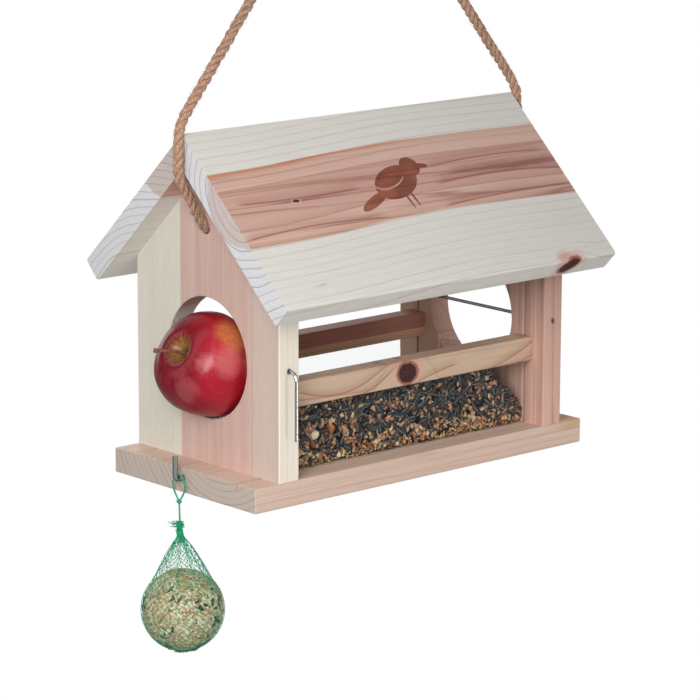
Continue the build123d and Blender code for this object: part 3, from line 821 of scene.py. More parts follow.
def build_rope(material):
    """One continuous rope, its hairs, and the two knots."""
    rng = np.random.default_rng(SEED)
    course, (inside, hole_z) = rope_course()
    path, _ = resample([np.array(p) for p in course], ROPE_STEP)
    points, faces, values = rope_strands(path, ROPE_R * 1.02, ROPE_LAY)
    rope = mesh_piece("jute_rope", points, faces, material, values=values)
    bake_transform(rope)
    points, faces, values = hairs(path, ROPE_R, HAIRS, rng)
    fuzz = mesh_piece("jute_rope_fibres", points, faces, material, values=values)
    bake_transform(fuzz)
    for side, name in ((LEFT, "left"), (RIGHT, "right")):
        turn = np.linspace(0, 2 * np.pi, 220)
        knot = np.stack(
            [
                -np.sin(3 * turn) * 2.6 + side * (inside / MM - 8.65),
                (np.sin(turn) + 2 * np.sin(2 * turn)) * 1.75,
                (np.cos(turn) - 2 * np.cos(2 * turn)) * 1.75 + hole_z / MM,
            ],
            1,
        ) * MM
        points, faces, values = rope_strands(knot, 3.1 * MM, ROPE_LAY)
        piece = mesh_piece(f"rope_knot_{name}", points, faces, material, "house", values=values)
        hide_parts(f"rope_end_{name}")
    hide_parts("rope_loop", "rope_end_left", "rope_end_right")


# =============================================================================
# apple
# =============================================================================
APPLE_CENTRE = Vector((-129.2, 0, 84.0)) * MM
APPLE_R = 35.4 * MM
APPLE_TILT = 30.5
APPLE_YAW = -2.0
APPLE_KEYS = [0.0, 0.05, 0.12, 0.2, 0.3, 0.42, 0.55, 0.7, 0.82, 0.9, 0.95, 1.0]
APPLE_REACH = [0.0, 0.11, 0.24, 0.41, 0.65, 0.86, 0.99, 0.88, 0.62, 0.38, 0.20, 0.0]
APPLE_HEIGHT = [0.475, 0.60, 0.735, 0.80, 0.712, 0.52, 0.12, -0.42, -0.76, -0.85, -0.84, -0.74]
# patches: a direction from the apple's middle, half width as a cosine, strength, and whether pink; the pink ones at
# strengths 0.27 and 0.24 are painted highlights, the faint 0.13 one a pink streak of the skin
APPLE_PATCHES = (
    ((0.06, -0.72, 0.69), 0.86, 0.92, False),
    ((-0.86, -0.42, -0.30), 0.93, 0.13, True),
    ((0.42, -0.90, 0.12), 0.88, 0.60, False),
    ((0.30, 0.90, -0.30), 0.80, 0.75, False),
    ((-0.24, -0.93, 0.26), 0.89, 0.27, True),
    ((-0.64, -0.70, 0.26), 0.965, 0.24, True),
)


def apple_matrix():
    """Local +Z along the stem, out of the wall and up."""
    tilt, yaw = math.radians(APPLE_TILT), math.radians(APPLE_YAW)
    stem = Vector((-math.cos(tilt) * math.cos(yaw), -math.cos(tilt) * math.sin(yaw), math.sin(tilt)))
    side = Vector((0, 1, 0)).cross(stem).normalized()
    return Matrix.Translation(APPLE_CENTRE) @ Matrix((side, stem.cross(side), stem)).transposed().to_4x4()


def apple_skin():
    """Crimson with a blush of gold, softly streaked from stem to eye, with a fine speckle and a waxy shine."""
    g = Graph("apple_skin")
    polar = g.attribute("polar").outputs["Fac"]
    own = g.attribute("own").outputs["Vector"]
    round_about = g.vector("NORMALIZE", g.vector("MULTIPLY", own, (1.0, 1.0, 0.0)))
    height = g.parts(own)[2]
    meridian = g.vector("ADD", round_about, g.scaled((0.0, 0.0, 0.35), height))
    streaks = g.noise(meridian, 5.0, 4.0, 0.6).outputs[0]
    fine = g.noise(meridian, 34.0, 3.0, 0.65).outputs[0]
    broad = g.noise(own, 1.8, 2.0).outputs[0]
    facing = g.vector("NORMALIZE", own)
    turn = apple_matrix().to_3x3().transposed()

    def toward(way):
        return g.vector("DOT_PRODUCT", facing, tuple((turn @ Vector(way)).normalized()))

    # lighter red toward the right front, darker crimson toward the left
    right_front_side = g.smooth(toward((0.55, -0.80, 0.10)), -0.45, 0.75)
    red = g.mix(right_front_side, srgb(98, 0, 20), srgb(192, 30, 52))
    red = g.mix(g.smooth(streaks, 0.30, 0.70, 0.0, 0.35), red, srgb(186, 20, 46))
    red = g.mix(g.smooth(fine, 0.45, 0.75, 0.0, 0.16), red, srgb(214, 84, 86))
    red = g.shade(red, g.smooth(broad, 0.3, 0.7, 0.84, 1.06))
    gold = g.mix(g.smooth(fine, 0.35, 0.65), srgb(228, 150, 84), srgb(214, 108, 68))
    colour = red
    # the pale pink patches are mostly painted highlights; the faintest is a pink streak
    for way, width, amount, highlight_and_streak in APPLE_PATCHES:
        ragged = g.math("ADD", toward(way), g.math("MULTIPLY", g.math("SUBTRACT", streaks, 0.5), 0.30 * (1.1 - width)))
        ragged = g.math("ADD", ragged, g.math("MULTIPLY", g.math("SUBTRACT", fine, 0.5), 0.02))
        share = g.smooth(ragged, width, 1.0)
        share = g.math("MULTIPLY", g.math("MULTIPLY", share, share), amount)
        colour = g.mix(share, colour, srgb(240, 166, 162) if highlight_and_streak else gold)
    green = g.mix(g.smooth(fine, 0.3, 0.7), srgb(180, 142, 76), srgb(126, 98, 48))
    near = g.math("ADD", polar, g.math("MULTIPLY", g.math("SUBTRACT", fine, 0.5), 0.16))
    near = g.math("ADD", near, g.math("MULTIPLY", g.math("SUBTRACT", streaks, 0.5), 0.20))
    colour = g.mix(g.smooth(near, 0.175, 0.06, 0.0, 0.85), colour, green)
    colour = g.mix(g.smooth(polar, 0.075, 0.02, 0.0, 0.85), colour, srgb(70, 50, 24))
    colour = g.mix(g.smooth(near, 0.93, 0.99, 0.0, 0.8), colour, srgb(120, 84, 40))
    dots = g.add("ShaderNodeTexVoronoi", {"Vector": g.place, "Scale": 620.0}).outputs["Distance"]
    colour = g.mix(g.smooth(dots, 0.22, 0.05, 0.0, 0.30), colour, srgb(222, 138, 120))
    skin = g.noise(g.place, 420.0, 3.0).outputs[0]
    return g.surface(
        colour, g.smooth(skin, 0.3, 0.8, 0.36, 0.46), skin, 0.04 * MM,
        Specular_IOR_Level=0.18, Coat_Weight=0.26, Coat_Roughness=0.20,
    )


def build_apple(skin, wood):
    """Ribbed apple with a deep stem hollow and a pinched eye."""
    rows, turns = 96, 144
    t = np.linspace(0, 1, rows)
    reach = smooth_keys(APPLE_KEYS, APPLE_REACH, t)
    height = smooth_keys(APPLE_KEYS, APPLE_HEIGHT, t)
    angle = np.linspace(0, 2 * np.pi, turns, endpoint=False)
    rib = np.cos(5 * angle + 0.6)[None, :]
    lean = np.cos(angle - 0.7)[None, :]
    low = np.clip((t[:, None] - 0.35) / 0.65, 0, 1)
    high = np.clip((0.45 - t[:, None]) / 0.45, 0, 1)
    r = reach[:, None] * (1 + 0.020 * rib * low + 0.012 * rib * high + 0.008 * lean)
    z = height[:, None] * (1 + 0.030 * rib * low**2) + 0.020 * lean * reach[:, None] * high
    z = z + 0.012 * np.cos(2 * angle + 1.1)[None, :] * reach[:, None]
    local = np.stack([r * np.cos(angle), r * np.sin(angle), z + 0 * r], -1)[1:-1].reshape(-1, 3)
    local = np.vstack([local, [[0, 0, height[0]]], [[0, 0, height[-1]]]])
    faces = []
    inner = rows - 2
    for i in range(inner - 1):
        a, b = i * turns, (i + 1) * turns
        faces += [(a + j, b + j, b + (j + 1) % turns, a + (j + 1) % turns) for j in range(turns)]
    top, bottom = inner * turns, inner * turns + 1
    faces += [(top, j, (j + 1) % turns) for j in range(turns)]
    last = (inner - 1) * turns
    faces += [(bottom, last + (j + 1) % turns, last + j) for j in range(turns)]
    matrix = np.array(apple_matrix())
    points = local * APPLE_R @ matrix[:3, :3].T + matrix[:3, 3]
    polar = np.concatenate([np.repeat(t[1:-1], turns), [0, 1]])
    fruit = mesh_piece("apple_fruit", points, faces, skin, "apple", values={"polar": polar}, vectors={"own": local})
    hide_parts("apple")

    foot = APPLE_HEIGHT[0] * APPLE_R / MM - 0.6
    stem = [(0, 0, 0), (-0.4, 0.2, 6), (-2.2, 1.1, 13), (-5.2, 2.6, 20), (-7.8, 4.0, 26)]
    path, run = resample([(np.array(p) + (0, 0, foot)) * MM for p in stem], 0.5 * MM)
    share = run / run[-1]
    radius = (1.25 - 0.30 * np.sin(np.pi * share) + 0.55 * np.clip((share - 0.84) / 0.16, 0, 1)) * MM
    path = path @ matrix[:3, :3].T + matrix[:3, 3]

    def lobes(i, a):
        return 1 + 0.10 * np.sin(3 * a + i * 0.2) + 0.05 * np.sin(7 * a - i * 0.3)

    points, faces = tube(path, radius, 14, lobes)
    stalk = mesh_piece("apple_stalk", points, faces, wood, "apple")
    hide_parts("apple_stem")


def smooth_keys(places, values, at):
    """Catmull-Rom through keyed values, read at the given places."""
    points = np.stack([places, values, np.zeros(len(places))], 1)
    dense = catmull_rom(points, 30)
    return np.interp(at, dense[:, 0], dense[:, 1])


def stem_wood():
    g = Graph("stem_wood")
    bark = g.noise(g.place, 700.0, 4.0, 0.7).outputs[0]
    colour = g.mix(g.smooth(bark, 0.3, 0.7), srgb(90, 48, 40), srgb(170, 118, 92))
    return g.surface(colour, 0.7, bark, 0.25 * MM)


# =============================================================================
# seed mix
# =============================================================================
def seed_skin():
    """One material for every seed: its own tint, with stripes on the dark ones."""
    g = Graph("seed_skin")
    tint = g.attribute("tint").outputs["Color"]
    along = g.attribute("stripe").outputs["Fac"]
    speck = g.noise(g.place, 1100.0, 3.0, 0.6).outputs[0]
    colour = g.shade(tint, g.smooth(speck, 0.25, 0.8, 0.72, 1.25))
    colour = g.mix(g.smooth(along, 0.55, 0.8, 0.0, 0.55), colour, srgb(150, 144, 132))
    return g.surface(colour, g.smooth(speck, 0.3, 0.8, 0.42, 0.62), speck, 0.12 * MM, Specular_IOR_Level=0.45)


def seed_shape(rows, sides, taper, flat):
    """Unit seed: 1 long, pointed at one end, flattened; returns points, faces, stripe value."""
    t = np.linspace(0.02, 0.98, rows)
    r = np.sin(np.pi * t ** taper) ** 0.75
    turn = np.linspace(0, 2 * np.pi, sides, endpoint=False)
    points = np.stack(
        [
            np.repeat(t - 0.5, sides),
            (r[:, None] * np.cos(turn)).ravel() * 0.5,
            (r[:, None] * np.sin(turn)).ravel() * 0.5 * flat,
        ],
        1,
    )
    faces = []
    for i in range(rows - 1):
        a, b = i * sides, (i + 1) * sides
        faces += [(a + j, a + (j + 1) % sides, b + (j + 1) % sides, b + j) for j in range(sides)]
    faces.append(tuple(range(sides))[::-1])
    faces.append(tuple((rows - 1) * sides + j for j in range(sides)))
    stripe = np.tile((np.arange(sides) % 3 == 0).astype(float), rows)
    return points, faces, stripe


def chunk_shape(rng, rough):
    """Unit broken bit: a lumpy ball cut by a few flats."""
    rows, sides = 6, 8
    t = np.linspace(0.08, 0.92, rows) * np.pi
    turn = np.linspace(0, 2 * np.pi, sides, endpoint=False)
    points = np.stack(
        [np.repeat(np.cos(t), sides), (np.sin(t)[:, None] * np.cos(turn)).ravel(), (np.sin(t)[:, None] * np.sin(turn)).ravel()],
        1,
    ) * 0.5
    for _ in range(5):
        way = unit(rng.normal(size=3))
        over = np.maximum(points @ way - rng.uniform(0.22, 0.36), 0)
        points -= over[:, None] * way
    points *= 1 + rng.uniform(-rough, rough, (len(points), 1))
    faces = []
    for i in range(rows - 1):
        a, b = i * sides, (i + 1) * sides
        faces += [(a + j, b + j, b + (j + 1) % sides, a + (j + 1) % sides) for j in range(sides)]
    faces.append(tuple(range(sides)))
    faces.append(tuple((rows - 1) * sides + j for j in range(sides))[::-1])
    return points, faces, np.zeros(len(points))


def seed_kinds(rng, warmth):
    """(share, shape, length range in mm, width share, colours); warmth raises the pale kinds' share."""
    sunflower = seed_shape(7, 9, 1.25, 0.55)
    grain = seed_shape(6, 8, 1.0, 0.75)
    flake = seed_shape(5, 6, 1.1, 0.22)
    bits = [chunk_shape(rng, 0.06) for _ in range(4)]
    black = [srgb(34, 36, 42), srgb(26, 30, 38), srgb(46, 46, 50), srgb(38, 44, 54)]
    tan = [srgb(202, 156, 122), srgb(186, 134, 102), srgb(212, 176, 138), srgb(172, 120, 90)]
    pale = [srgb(224, 206, 156), srgb(214, 190, 140), srgb(226, 212, 176)]
    orange = [srgb(196, 128, 76), srgb(182, 108, 66)]
    kinds = [
        (0.34, sunflower, (7.0, 11.0), 0.44, black),
        (0.18, grain, (3.5, 5.5), 0.42, black),
        (0.15 * warmth, flake, (5.0, 10.0), 0.42, tan),
        (0.09 * warmth, grain, (4.5, 7.0), 0.46, tan),
        (0.03 * warmth, flake, (4.5, 9.0), 0.34, pale),
    ]
    for bit in bits:
        kinds.append((0.009 * warmth, bit, (3.0, 6.0), 0.80, pale))
        kinds.append((0.022 * warmth, bit, (2.4, 5.0), 0.80, tan))
        kinds.append((0.016 * warmth, bit, (1.8, 4.0), 0.80, orange))
    return kinds


def fine_bits(rng):
    """Crumbs of husk and nut."""
    colours = [srgb(190, 126, 84), srgb(206, 164, 118), srgb(160, 104, 70), srgb(222, 200, 150), srgb(60, 54, 50)]
    return [(1.0, chunk_shape(rng, 0.08), (1.2, 3.0), 0.8, colours) for _ in range(3)]


NUTS = ((33, 21, srgb(236, 226, 190)), (47, 22, srgb(190, 116, 74)))   # across and up in mm, colour


def turned(rng, normal, count, tumble):
    """Rotation matrices that lay seeds flat against a face, any way round, a little tumbled."""
    n = unit(np.broadcast_to(np.asarray(normal, float), (count, 3)) + rng.normal(0, tumble, (count, 3)))
    a = unit(np.cross(n, rng.normal(size=(count, 3))))
    return np.stack([a, np.cross(n, a), n], 2)


def scatter(rng, kinds, places, normals, tumble):
    """Many seeds as one set of arrays."""
    weights = np.array([k[0] for k in kinds])
    pick = rng.choice(len(kinds), len(places), p=weights / weights.sum())
    all_points, all_faces, all_tint, all_stripe, start = [], [], [], [], 0
    for index, (_, (shape, faces, stripe), lengths, width, colours) in enumerate(kinds):
        at = places[pick == index]
        if not len(at):
            continue
        turn = turned(rng, normals[pick == index], len(at), tumble)
        size = rng.uniform(*lengths, len(at)) * MM
        scale = np.stack([size, size * width * rng.uniform(0.85, 1.15, len(at)), size * width], 1)
        local = shape[None, :, :] * scale[:, None, :]
        points = np.einsum("nij,nvj->nvi", turn, local) + at[:, None, :]
        tint = np.array(colours)[rng.integers(0, len(colours), len(at))] * rng.uniform(0.75, 1.2, (len(at), 1))
        all_points.append(points.reshape(-1, 3))
        all_tint.append(np.repeat(tint, len(shape), 0))
        all_stripe.append(np.tile(stripe if colours[0][0] < 0.05 and lengths[1] > 8 else stripe * 0, len(at)))
        for i in range(len(at)):
            base = start + i * len(shape)
            all_faces += [tuple(base + v for v in face) for face in faces]
        start += len(at) * len(shape)
    return np.vstack(all_points), all_faces, np.vstack(all_tint), np.concatenate(all_stripe)


def seed_top(x, y, low, high, rear_z):
    """Height of the heap: high at the front pane, low at the rear and at the apple holes."""
    share = (y - low[Y]) / (high[Y] - low[Y])
    z = high[Z] + (rear_z - high[Z]) * share
    for end in (low[X], high[X]):
        reach = np.hypot(x - end, y)
        z = np.minimum(z, 46 * MM + reach * math.tan(math.radians(30)))
    corner = np.hypot(high[X] - x, (y - low[Y]) * 0.7)
    return np.minimum(z, low[Z] + 10 * MM + corner)


def build_seeds(material):
    rng = np.random.default_rng(SEED + 1)
    # the top band takes few pale seeds: partly the real mix there, partly painted shade under the rail
    mixed, lower, darker_top = (seed_kinds(rng, warmth) for warmth in (0.9, 2.2, 0.34))
    low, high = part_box("seed_mix")
    rear_z = 45 * MM
    sets = []
    for face, count in ((FRONT, 2100), (REAR, 1400)):
        pane = low[Y] if face == FRONT else high[Y]
        x = rng.uniform(low[X] + 2 * MM, high[X] - 2 * MM, count)
        top = seed_top(x, np.full(count, pane), low, high, rear_z)
        z = low[Z] + 1 * MM + rng.uniform(0, 1, count) * (top - low[Z] - 1.5 * MM)
        y = pane - face * (1.1 * MM + np.abs(rng.normal(0, 1.7, count)) * MM)
        clear = [np.hypot(x - low[X] - nut[0] * MM, z - low[Z] - nut[1] * MM) > 5.2 * MM for nut in NUTS]
        x, y, z, top = (values[np.all(clear, axis=0)] for values in (x, y, z, top))
        share = (z - low[Z]) / (top - low[Z])
        places = np.stack([x, y, z], 1)
        level = share + rng.normal(0, 0.16, len(share))
        bands = ((lower, level < 0.34), (mixed, (level >= 0.34) & (level < 0.8)), (darker_top, level >= 0.8))
        for kinds, chosen in bands:
            sets.append((places[chosen], np.tile((0, face, 0.0), (chosen.sum(), 1)), 0.38, kinds))
        # fine bits that have sifted down to the floor, and two big pieces of nut
        count = 420
        x = rng.uniform(low[X] + 2 * MM, high[X] - 2 * MM, count)
        z = low[Z] + 0.6 * MM + np.abs(rng.normal(0, 4.2, count)) * MM
        places = np.stack([x, np.full(count, pane - face * 0.7 * MM), z], 1)
        sets.append((places, np.tile((0, face, 0.0), (count, 1)), 0.5, fine_bits(rng)))
        for across, up, tone in NUTS:
            place = np.array([[low[X] + across * MM, pane - face * 2.6 * MM, low[Z] + up * MM]])
            nut = [(1.0, chunk_shape(rng, 0.04), (10.0, 11.0), 0.72, [tone])]
            sets.append((place, np.array([(0, face, 0.0)]), 0.1, nut))
    count = 3300
    x = rng.uniform(low[X] + 2 * MM, high[X] - 2 * MM, count)
    y = rng.uniform(low[Y] + 2 * MM, high[Y] - 2 * MM, count)
    z = seed_top(x, y, low, high, rear_z) - 1.0 * MM - np.abs(rng.normal(0, 1.3, count)) * MM
    sets.append((np.stack([x, y, z], 1), np.tile((0, 0.12, 1.0), (count, 1)), 0.5, mixed))
    parts, tints, stripes = [], [], []
    for places, normals, tumble, kinds in sets:
        points, faces, tint, stripe = scatter(rng, kinds, places, normals, tumble)
        parts.append((points, faces))
        tints.append(tint)
        stripes.append(stripe)
    points, faces = merge(parts)
    points = np.clip(points, np.array(low) - 0.4 * MM, np.array(high) + [0.4 * MM, 0.4 * MM, 2.0 * MM])
    loose = mesh_piece(
        "loose_seed", points, faces, material, "house",
        colours={"tint": np.vstack(tints)}, values={"stripe": np.concatenate(stripes)},
    )

    # the heap's dark core, just under the visible seeds
    nx, ny = 90, 44
    gx, gy = np.meshgrid(np.linspace(low[X] + 2 * MM, high[X] - 2 * MM, nx), np.linspace(low[Y] + 4 * MM, high[Y] - 4 * MM, ny), indexing="ij")
    gz = seed_top(gx, gy, low, high, rear_z) - 3.4 * MM + rng.normal(0, 0.5, gx.shape) * MM
    top = np.stack([gx.ravel(), gy.ravel(), gz.ravel()], 1)
    bottom = top.copy()
    bottom[:, 2] = low[Z]
    faces = []
    for i in range(nx - 1):
        for j in range(ny - 1):
            a = i * ny + j
            quad = (a, a + ny, a + ny + 1, a + 1)
            faces.append(quad)
            faces.append(tuple(nx * ny + v for v in quad[::-1]))
    rim = [i * ny for i in range(nx)] + [(nx - 1) * ny + j for j in range(1, ny)]
    rim += [i * ny + ny - 1 for i in range(nx - 2, -1, -1)] + [j for j in range(ny - 2, 0, -1)]
    for a, b in zip(rim, rim[1:] + rim[:1]):
        faces.append((a, nx * ny + a, nx * ny + b, b))
    tint = np.tile(srgb(44, 38, 34), (2 * nx * ny, 1))
    heap = mesh_piece(
        "seed_heap", np.vstack([top, bottom]), faces, material, "house",
        colours={"tint": tint}, values={"stripe": np.zeros(2 * nx * ny)},
    )
    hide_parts("seed_mix")


# =============================================================================
# fat ball, net and strings
# =============================================================================
BALL_R = 27.6 * MM
NET_OUT = 0.5 * MM          # net's middle above the ball's surface
NET_STRANDS = 36
NET_ROWS = 46
NET_WIRE = 0.062 * MM
NET_WAIST = 24 * MM         # depth below the knot where the gathered tuft ends
NET_LEAVES = 42.0           # degrees above the ball's middle where the net leaves it
CLUSTERS = 12
DARK_SPOTS = ((-0.65, -0.42, 0.64), (-0.88, -0.39, -0.28), (0.49, -0.74, 0.46), (-0.13, -0.93, 0.35))


def bird_fat():
    """Greasy crumb with cracks, flour and darker grains."""
    g = Graph("bird_fat")
    coarse = g.noise(g.place, 110.0, 4.0, 0.65).outputs[0]
    crumbs = g.add("ShaderNodeTexVoronoi", {"Vector": g.place, "Scale": 560.0}).outputs
    lot = g.parts(crumbs["Color"])
    colour = g.mix(g.smooth(coarse, 0.32, 0.66), srgb(214, 198, 150), srgb(246, 238, 208))
    colour = g.mix(g.smooth(lot[0], 0.66, 0.72, 0.0, 0.62), colour, srgb(196, 130, 92))
    colour = g.mix(g.smooth(lot[1], 0.84, 0.88, 0.0, 0.6), colour, srgb(126, 138, 96))
    colour = g.mix(g.smooth(lot[2], 0.10, 0.05, 0.0, 0.8), colour, srgb(104, 84, 58))
    colour = g.shade(colour, g.smooth(crumbs["Distance"], 0.15, 0.75, 1.06, 0.78))
    relief = g.math("SUBTRACT", coarse, g.math("MULTIPLY", crumbs["Distance"], 0.6))
    return g.surface(colour, 0.6, relief, 0.9 * MM, Specular_IOR_Level=0.35)


def net_fibre(name, base, light):
    """Green twine: fine fibre, brighter and darker in places."""
    g = Graph(name)
    fine = g.noise(g.place, 1400.0, 3.0, 0.7).outputs[0]
    slow = g.noise(g.place, 160.0, 2.0).outputs[0]
    colour = g.mix(g.smooth(fine, 0.3, 0.7), base, light)
    colour = g.shade(colour, g.smooth(slow, 0.3, 0.7, 0.8, 1.15))
    return g.surface(colour, 0.45, fine, 0.1 * MM, Specular_IOR_Level=0.5)


def ball_frame():
    """Knot point, unit vector down to the ball's middle, and that middle."""
    low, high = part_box("fat_ball")
    middle = np.array((low + high) / 2)
    knot = np.array(joint("ball_sway")["pos_m"])
    return knot, unit(middle - knot), middle


def lumps(way):
    """Uneven radius of the ball in a direction."""
    x, y, z = way[..., 0], way[..., 1], way[..., 2]
    return (
        0.985
        + 0.012 * np.sin(3.1 * x + 2.0 * y + 0.5) * np.cos(2.3 * z - 1.0)
        + 0.010 * np.sin(7 * x - 5 * z + 1.0) * np.sin(6 * y + 0.4)
    )


def build_ball(material, seed_material):
    rng = np.random.default_rng(SEED + 2)
    _, _, middle = ball_frame()
    rows, turns = 90, 140
    theta = np.linspace(0, np.pi, rows)[1:-1, None]
    phi = np.linspace(0, 2 * np.pi, turns, endpoint=False)[None, :]
    theta, phi = np.broadcast_arrays(theta, phi)
    way = np.stack([np.sin(theta) * np.cos(phi), np.sin(theta) * np.sin(phi), np.cos(theta)], -1)
    grit = 1 + rng.normal(0, 0.007, way.shape[:2])
    points = (middle + way * (BALL_R * lumps(way) * grit)[:, :, None]).reshape(-1, 3)
    points = np.vstack([points, middle + [0, 0, BALL_R * 0.97], middle - [0, 0, BALL_R * 0.98]])
    faces = []
    inner = rows - 2
    for i in range(inner - 1):
        a, b = i * turns, (i + 1) * turns
        faces += [(a + j, b + j, b + (j + 1) % turns, a + (j + 1) % turns) for j in range(turns)]
    top, bottom = inner * turns, inner * turns + 1
    faces += [(top, j, (j + 1) % turns) for j in range(turns)]
    last = (inner - 1) * turns
    faces += [(bottom, last + (j + 1) % turns, last + j) for j in range(turns)]
    ball = mesh_piece("fat_ball_body", points, faces, material, "ball")
    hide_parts("fat_ball")

    black = [srgb(40, 44, 44), srgb(58, 58, 50), srgb(48, 58, 56)]
    tan = [srgb(186, 124, 84), srgb(212, 184, 132), srgb(170, 110, 74)]
    dark_kinds = [(1.0, seed_shape(7, 9, 1.25, 0.5), (5.0, 8.0), 0.40, black)]
    light_kinds = [
        (0.55, chunk_shape(rng, 0.05), (1.6, 3.4), 0.8, tan),
        (0.45, seed_shape(6, 8, 1.0, 0.7), (2.6, 4.8), 0.45, tan),
    ]
    spread = np.vstack([unit(np.array(DARK_SPOTS)), unit(rng.normal(size=(CLUSTERS, 3)))])
    dark_way = unit(np.repeat(spread, 4, 0) + rng.normal(0, 0.10, (len(spread) * 4, 3)))
    light_way = unit(rng.normal(size=(170, 3)))
    parts, tints, stripes = [], [], []
    for kinds, way, depth in ((dark_kinds, dark_way, 0.990), (light_kinds, light_way, 0.985)):
        places = middle + way * (BALL_R * lumps(way) * depth)[:, None]
        points, faces, tint, stripe = scatter(rng, kinds, places, way, 0.2)
        parts.append((points, faces))
        tints.append(tint)
        stripes.append(stripe)
    points, faces = merge(parts)
    away = points - middle
    reach = np.linalg.norm(away, axis=1)
    points = middle + away * np.minimum(1.0, BALL_R * 1.010 / reach)[:, None]
    bits = mesh_piece(
        "fat_ball_seeds", points, faces, seed_material, "ball",
        colours={"tint": np.vstack(tints)}, values={"stripe": np.concatenate(stripes)},
    )


def net_radius(depth, ball_depth, phi):
    """The bag's radius at a depth below the knot: gathered neck, pleated cone, then round the ball."""
    outer = BALL_R + NET_OUT
    leave = math.radians(NET_LEAVES)
    leave_depth = ball_depth - outer * math.sin(leave)
    share = np.clip((depth - NET_WAIST) / (leave_depth - NET_WAIST), 0, 1)
    cone = 2.4 * MM + (outer * math.cos(leave) - 2.4 * MM) * share ** 0.95
    pleat = 1 + (0.22 * np.sin(4 * phi + 0.6) + 0.16 * np.sin(9 * phi + 2)) * (1 - share) * np.clip(share * 5, 0, 1)
    off = np.clip((depth - ball_depth) / outer, -1, 1)
    ball = outer * np.sqrt(np.maximum(1 - off**2, 0))
    return np.where(depth < leave_depth, cone * pleat, ball)


def net_grid(rng, knot, down, middle, side, other):
    """Crossing points of the net, row by row, and each row's share of cone."""
    depth_ball = float(np.linalg.norm(middle - knot))
    outer = BALL_R + NET_OUT
    depth = np.linspace(NET_WAIST, depth_ball + outer * 0.995, 900)
    outline = net_radius(depth, depth_ball, np.zeros(900) + 0.3)
    run = np.concatenate([[0], np.cumsum(np.hypot(np.diff(depth), np.diff(outline)))])
    row_depth = np.interp(np.linspace(0, run[-1], NET_ROWS), run, depth)
    leave_depth = depth_ball - outer * math.sin(math.radians(NET_LEAVES))
    grid = np.zeros((NET_ROWS, NET_STRANDS, 3))
    for i, d in enumerate(row_depth):
        phi = 2 * np.pi * (np.arange(NET_STRANDS) + 0.5 * (i % 2)) / NET_STRANDS
        bunch = np.clip((leave_depth - d) / (leave_depth - NET_WAIST), 0, 1)
        phi = phi + 0.11 * bunch * np.sin(9 * phi + 0.8) + rng.normal(0, 0.02, NET_STRANDS)
        dd = d + rng.normal(0, 0.4 * MM, NET_STRANDS)
        r = net_radius(np.minimum(dd, depth_ball + outer), depth_ball, phi)
        way = side[None] * np.cos(phi)[:, None] + other[None] * np.sin(phi)[:, None]
        grid[i] = knot + down * dd[:, None] + way * r[:, None]
    off = grid - middle
    reach = np.linalg.norm(off, axis=2, keepdims=True)
    grid = middle + off * np.maximum(1.0, (BALL_R + NET_OUT * 0.8) / reach)
    return grid, np.clip((leave_depth + 6 * MM - row_depth) / (10 * MM), 0, 1)


